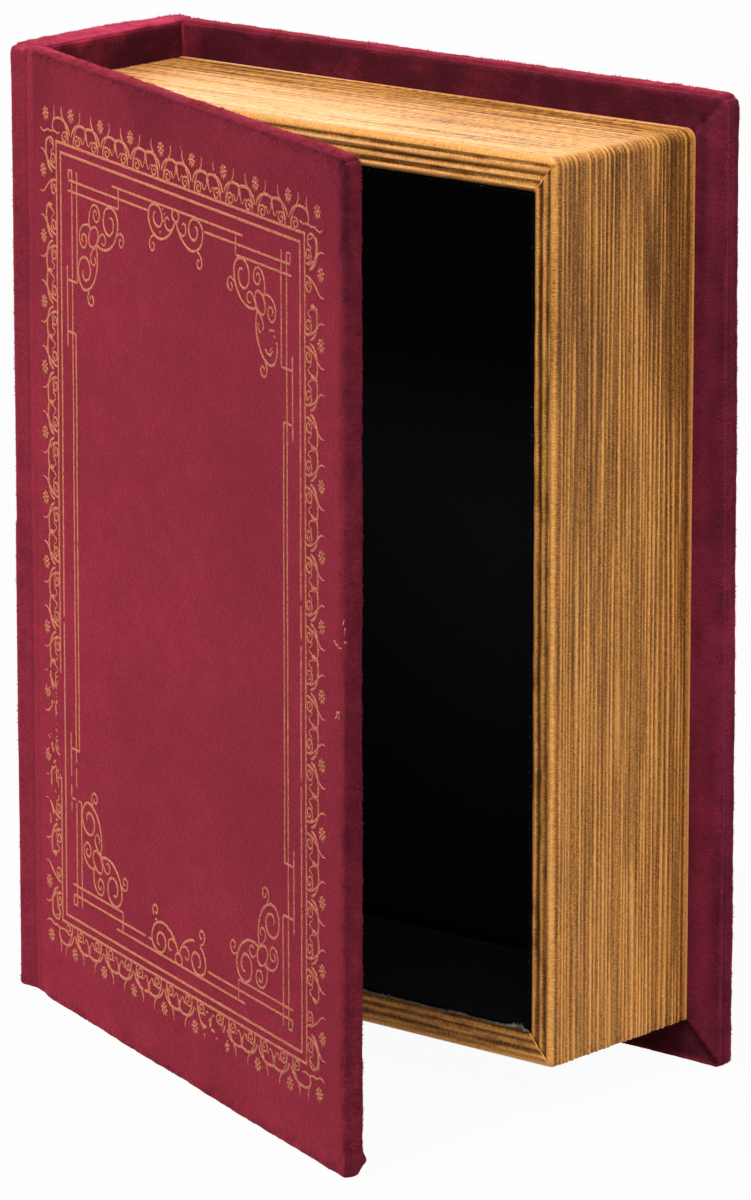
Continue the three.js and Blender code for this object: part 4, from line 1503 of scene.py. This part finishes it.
def varied(tree, tone, parts):
    """A tone with a share of each noise added to it, counted from the noise's middle."""
    for part, share in parts:
        from_middle = maths(tree, "SUBTRACT", part, 0.5)
        tone = maths(tree, "ADD", tone, maths(tree, "MULTIPLY", from_middle, share))
    return tone


def ramp(tree, factor, stops):
    """Colours between the stops, each a place and a colour."""
    made = node(tree, "ShaderNodeValToRGB", {"Fac": factor})
    elements = made.color_ramp.elements
    elements[0].position, elements[0].color = stops[0][0], (*stops[0][1], 1)
    elements[1].position, elements[1].color = stops[-1][0], (*stops[-1][1], 1)
    for position, colour in stops[1:-1]:
        elements.new(position).color = (*colour, 1)
    return made.outputs["Color"]


def multiplied(tree, first, second):
    """One colour multiplied by another."""
    inputs = {0: 1.0, 6: first, 7: second}
    return node(tree, "ShaderNodeMix", inputs, data_type="RGBA", blend_type="MULTIPLY").outputs[2]


def bump(tree, principled, height, distance, strength):
    made = node(tree, "ShaderNodeBump", {"Height": height, "Distance": distance * MM, "Strength": strength})
    tree.links.new(made.outputs["Normal"], principled.inputs["Normal"])


def attribute(tree, name, output="Fac"):
    return node(tree, "ShaderNodeAttribute", attribute_name=name).outputs[output]


# Colours of the velvet, from dark to a painted highlight on its pile, where the pile stands and, darker also
# for painted shade, where it lies
STANDING_PILE_AND_HIGHLIGHT = ((0.031, 0.002, 0.0095), (0.118, 0.0102, 0.0212), (0.26, 0.0225, 0.048), (0.58, 0.055, 0.14))
SHADED_FLAT_PILE = ((0.012, 0.0012, 0.003), (0.042, 0.0042, 0.0105), (0.11, 0.0105, 0.026), (0.2, 0.018, 0.046))


def velvet_material(name, sheen, colours):
    material, tree, principled = shader(
        name,
        0.95,
        Specular_IOR_Level=0.1,
        Sheen_Weight=sheen,
        Sheen_Roughness=0.48,
        Sheen_Tint=(1.0, 0.082, 0.14, 1),
    )
    point = object_point(tree, (0.6, 0.6, 1.2))
    # The tone of the pile: its direction, with the painted highlights and shade added to it
    nap_and_light = attribute(tree, "nap_and_light")
    fine = grain(tree, point, 0.55, 2.0, 0.65)
    mottle = grain(tree, point, 1.5, 2.0, 0.6)
    patch = grain(tree, point, 7.0, 3.0, 0.6)
    tone = maths(tree, "MULTIPLY_ADD", nap_and_light, 0.4, 0.4)
    tone = varied(tree, tone, ((fine, 0.56), (mottle, 0.32), (patch, 0.28)))
    colour = ramp(tree, tone, list(zip((0.0, 0.4, 0.7, 1.0), colours)))
    tree.links.new(colour, principled.inputs["Base Color"])
    bump(tree, principled, fine, 0.35, 0.8)
    return material


FOIL_GOLD = (0.59, 0.182, 0.078)
FOIL_THIN = (0.27, 0.05, 0.034)
FOIL_BRIGHT = (0.78, 0.28, 0.12)


def foil_material():
    material, tree, principled = shader("gold_foil", 0.5, Metallic=0.1, Specular_IOR_Level=0.3)
    patch = grain(tree, object_point(tree), 0.55, 3.0, 0.75)
    tone = maths(tree, "SUBTRACT", patch, attribute(tree, "dull"))
    colour = ramp(tree, tone, [(0.34, FOIL_THIN), (0.5, FOIL_GOLD), (0.68, FOIL_BRIGHT)])
    tree.links.new(colour, principled.inputs["Base Color"])
    bump(tree, principled, patch, 0.12, 0.6)
    return material


def felt_material():
    material, tree, principled = shader(
        "black_felt",
        1.0,
        Specular_IOR_Level=0.04,
        Sheen_Weight=0.01,
        Sheen_Roughness=0.6,
    )
    point = object_point(tree)
    fibres = grain(tree, point, 0.5, 3.0, 0.7)
    colour = ramp(tree, fibres, [(0.3, (0.0008, 0.0008, 0.001)), (0.75, (0.0055, 0.0055, 0.0068))])
    place = node(tree, "ShaderNodeSeparateXYZ", {"Vector": point}).outputs
    # Lighter higher up; near the mouth and on the tail wall, which looks up into the lamps, it is held at 0.15:
    # painted shade
    height_tone_and_shade = maths(tree, "MULTIPLY_ADD", place["Z"], 28.0, -1.1)
    past_lip = maths(tree, "MULTIPLY_ADD", place["Y"], 0.1 / MM, -0.1 * PAGE_LOW[1] - 0.2, clamp=True)
    height_tone_and_shade = maths(tree, "MULTIPLY", height_tone_and_shade, past_lip)
    colour = multiplied(tree, colour, maths(tree, "MAXIMUM", height_tone_and_shade, 0.15))
    tree.links.new(colour, principled.inputs["Base Color"])
    bump(tree, principled, fibres, 0.3, 0.6)
    return material


def fuzz_material():
    material, tree, principled = shader("frayed_felt", 0.9, Specular_IOR_Level=0.1)
    dye = grain(tree, object_point(tree), 1.6, 2.0, 0.6)
    colour = ramp(tree, dye, [(0.3, (0.12, 0.1, 0.075)), (0.5, (0.32, 0.27, 0.19)), (0.7, (0.55, 0.47, 0.35))])
    tree.links.new(colour, principled.inputs["Base Color"])
    return material


def board_material():
    material, tree, principled = shader("grey_board", 0.9, Specular_IOR_Level=0.2)
    fibres = grain(tree, object_point(tree, (1, 1, 3)), 1.2, 4.0, 0.6)
    colour = ramp(tree, fibres, [(0.3, (0.22, 0.18, 0.12)), (0.7, (0.38, 0.31, 0.22))])
    tree.links.new(colour, principled.inputs["Base Color"])
    bump(tree, principled, fibres, 0.15, 0.4)
    return material


# Colours of the gilt paper, from its grooves by brown and gold to its palest crests
GILT_STOPS = [
    (0.0, (0.085, 0.028, 0.006)),
    (0.22, (0.24, 0.09, 0.024)),
    (0.48, (0.62, 0.27, 0.06)),
    (0.75, (0.94, 0.43, 0.13)),
    (1.0, (0.98, 0.56, 0.35)),
]


def gilt_material():
    material, tree, principled = shader(
        "gilt_page_paper",
        0.45,
        Metallic=0.2,
        Specular_IOR_Level=0.2,
        Specular_Tint=(1.0, 0.72, 0.4, 1),
    )
    page = attribute(tree, "page", "Vector")
    split = node(tree, "ShaderNodeSeparateXYZ", {"Vector": page}).outputs
    spot = node(tree, "ShaderNodeMapping", {"Vector": page, "Scale": (MM, MM, 0)}).outputs["Vector"]

    def stretched(scale, turn=0.0):
        inputs = {"Vector": spot, "Rotation": (0, 0, math.radians(turn)), "Scale": scale}
        return node(tree, "ShaderNodeMapping", inputs).outputs["Vector"]

    crepe = grain(tree, stretched((1, 0.3, 1), -14), 0.36, 1.0, 0.5)
    speck = grain(tree, spot, 0.6, 3.0, 0.7)
    rows = maths(tree, "MULTIPLY", split["Y"], 1 / 2.3)
    row = maths(tree, "MULTIPLY", maths(tree, "FLOOR", rows), 20 * MM)
    in_row = maths(tree, "MULTIPLY", split["X"], 0.38 * MM)
    in_row = node(tree, "ShaderNodeCombineXYZ", {"X": in_row, "Y": row}).outputs["Vector"]
    from_gap = maths(tree, "MULTIPLY", maths(tree, "PINGPONG", rows, 0.5), 2.0)
    dash = maths(tree, "SUBTRACT", grain(tree, in_row, 0.75, 1.0, 0.5), 0.5)
    dash = maths(tree, "MULTIPLY_ADD", dash, from_gap, 0.5)
    streak = grain(tree, stretched((0.02, 1, 1)), 0.6, 2.0, 0.6)
    head_end = (PAGE_HIGH[0] - PAGE_LOW[0] - PAGE_CORNER) / 8
    at_head = maths(tree, "MULTIPLY_ADD", split["X"], -1 / 8, head_end, clamp=True)
    at_head = maths(tree, "MULTIPLY", at_head, maths(tree, "GREATER_THAN", split["Y"], 2.3))
    dashes = maths(tree, "MULTIPLY_ADD", at_head, 0.9, 0.3)
    line = grain(tree, stretched((0.02, 1, 1)), 1.7, 1.0, 0.5)
    lines = maths(tree, "MULTIPLY", at_head, 1.45)
    tone = maths(tree, "MULTIPLY_ADD", split["Z"], 0.62, 0.2)
    parts = ((crepe, 0.55), (speck, 0.5), (dash, dashes), (streak, 0.55), (line, lines))
    colour = ramp(tree, varied(tree, tone, parts), GILT_STOPS)
    tree.links.new(colour, principled.inputs["Base Color"])
    relief = maths(tree, "ADD", crepe, maths(tree, "MULTIPLY", streak, 0.6))
    bump(tree, principled, relief, 0.2, 0.8)
    return material


MATERIALS = {
    "gilt_page_paper": gilt_material(),
    "burgundy_velvet": velvet_material("burgundy_velvet", 0.75, STANDING_PILE_AND_HIGHLIGHT),
    "shaded_flat_pile": velvet_material("shaded_flat_pile", 0.35, SHADED_FLAT_PILE),
    "black_felt": felt_material(),
    "grey_board": board_material(),
}


def dress(piece, slot):
    piece.data.materials.clear()
    piece.data.materials.append(MATERIALS[slot])


make_front_velvet()
make_back_velvet()
make_spine_velvet()
make_hinge_cloth()
make_pages()
make_tray_felt()
make_lip_fuzz()
make_front_felt()
make_ornament()

for name, cad in NODES.items():
    if name.endswith("_board") or name.startswith("tray_"):
        cad.data.materials.clear()
        cad.data.materials.append(MATERIALS["grey_board"])


# Floor, background and light

FLOOR_REACH = 12000.0
FLOOR_GLOW = 0.955
AMBIENT = 0.3
TARGET = (0.0, 0.0, 0.14)


def seen_directly(tree):
    """1 for rays that show a surface itself, and 0 for those that only carry its light."""
    rays = node(tree, "ShaderNodeLightPath").outputs
    seen = maths(tree, "MAXIMUM", rays["Is Camera Ray"], rays["Is Glossy Ray"])
    return maths(tree, "MAXIMUM", seen, rays["Is Transmission Ray"])


def make_stage():
    material, tree, principled = shader("pale_floor", 0.9, Specular_IOR_Level=0.0)
    tint = ramp(tree, grain(tree, object_point(tree), 60.0), [(0, (0.54, 0.54, 0.54)), (1, (0.57, 0.57, 0.57))])
    tree.links.new(tint, principled.inputs["Base Color"])
    glow = node(tree, "ShaderNodeEmission", {"Color": (1, 1, 1, 1), "Strength": 1.0})
    share = maths(tree, "MULTIPLY", seen_directly(tree), FLOOR_GLOW)
    blended = node(tree, "ShaderNodeMixShader", {0: share, 1: principled.outputs[0], 2: glow.outputs[0]})
    tree.links.new(blended.outputs[0], tree.nodes["Material Output"].inputs["Surface"])
    sheet = [(FLOOR_REACH * x, FLOOR_REACH * y, 0) for x, y in ((-1, -1), (1, -1), (1, 1), (-1, 1))]
    floor = new_object("floor", sheet, [(0, 1, 2, 3)], None, smooth=False)
    floor.data.materials.append(material)


def make_world():
    world = bpy.data.worlds.new("studio")
    bpy.context.scene.world = world
    world.use_nodes = True
    tree = world.node_tree
    background = tree.nodes["Background"]
    strength = maths(tree, "MULTIPLY_ADD", seen_directly(tree), 1.0 - AMBIENT, AMBIENT)
    background.inputs["Color"].default_value = (1, 1, 1, 1)
    tree.links.new(strength, background.inputs["Strength"])


def softbox(name, at, aim, size, watts):
    data = bpy.data.lights.new(name, "AREA")
    data.shape = "DISK"
    data.size = size
    data.energy = watts
    lamp = bpy.data.objects.new(name, data)
    lamp.location = at
    lamp.rotation_euler = (Vector(aim) - Vector(at)).to_track_quat("-Z", "Y").to_euler()
    bpy.context.scene.collection.objects.link(lamp)


make_stage()
make_world()
softbox("key_above", (0.35, -0.7, 1.7), TARGET, 1.0, 29)
softbox("fill_left", (-1.3, -1.6, 0.9), TARGET, 1.2, 14)
softbox("fill_right", (1.9, -0.4, 0.8), TARGET, 1.2, 6)
softbox("behind", (-1.25, 1.5, 0.75), TARGET, 1.2, 9)

bpy.context.scene.view_settings.view_transform = "Standard"
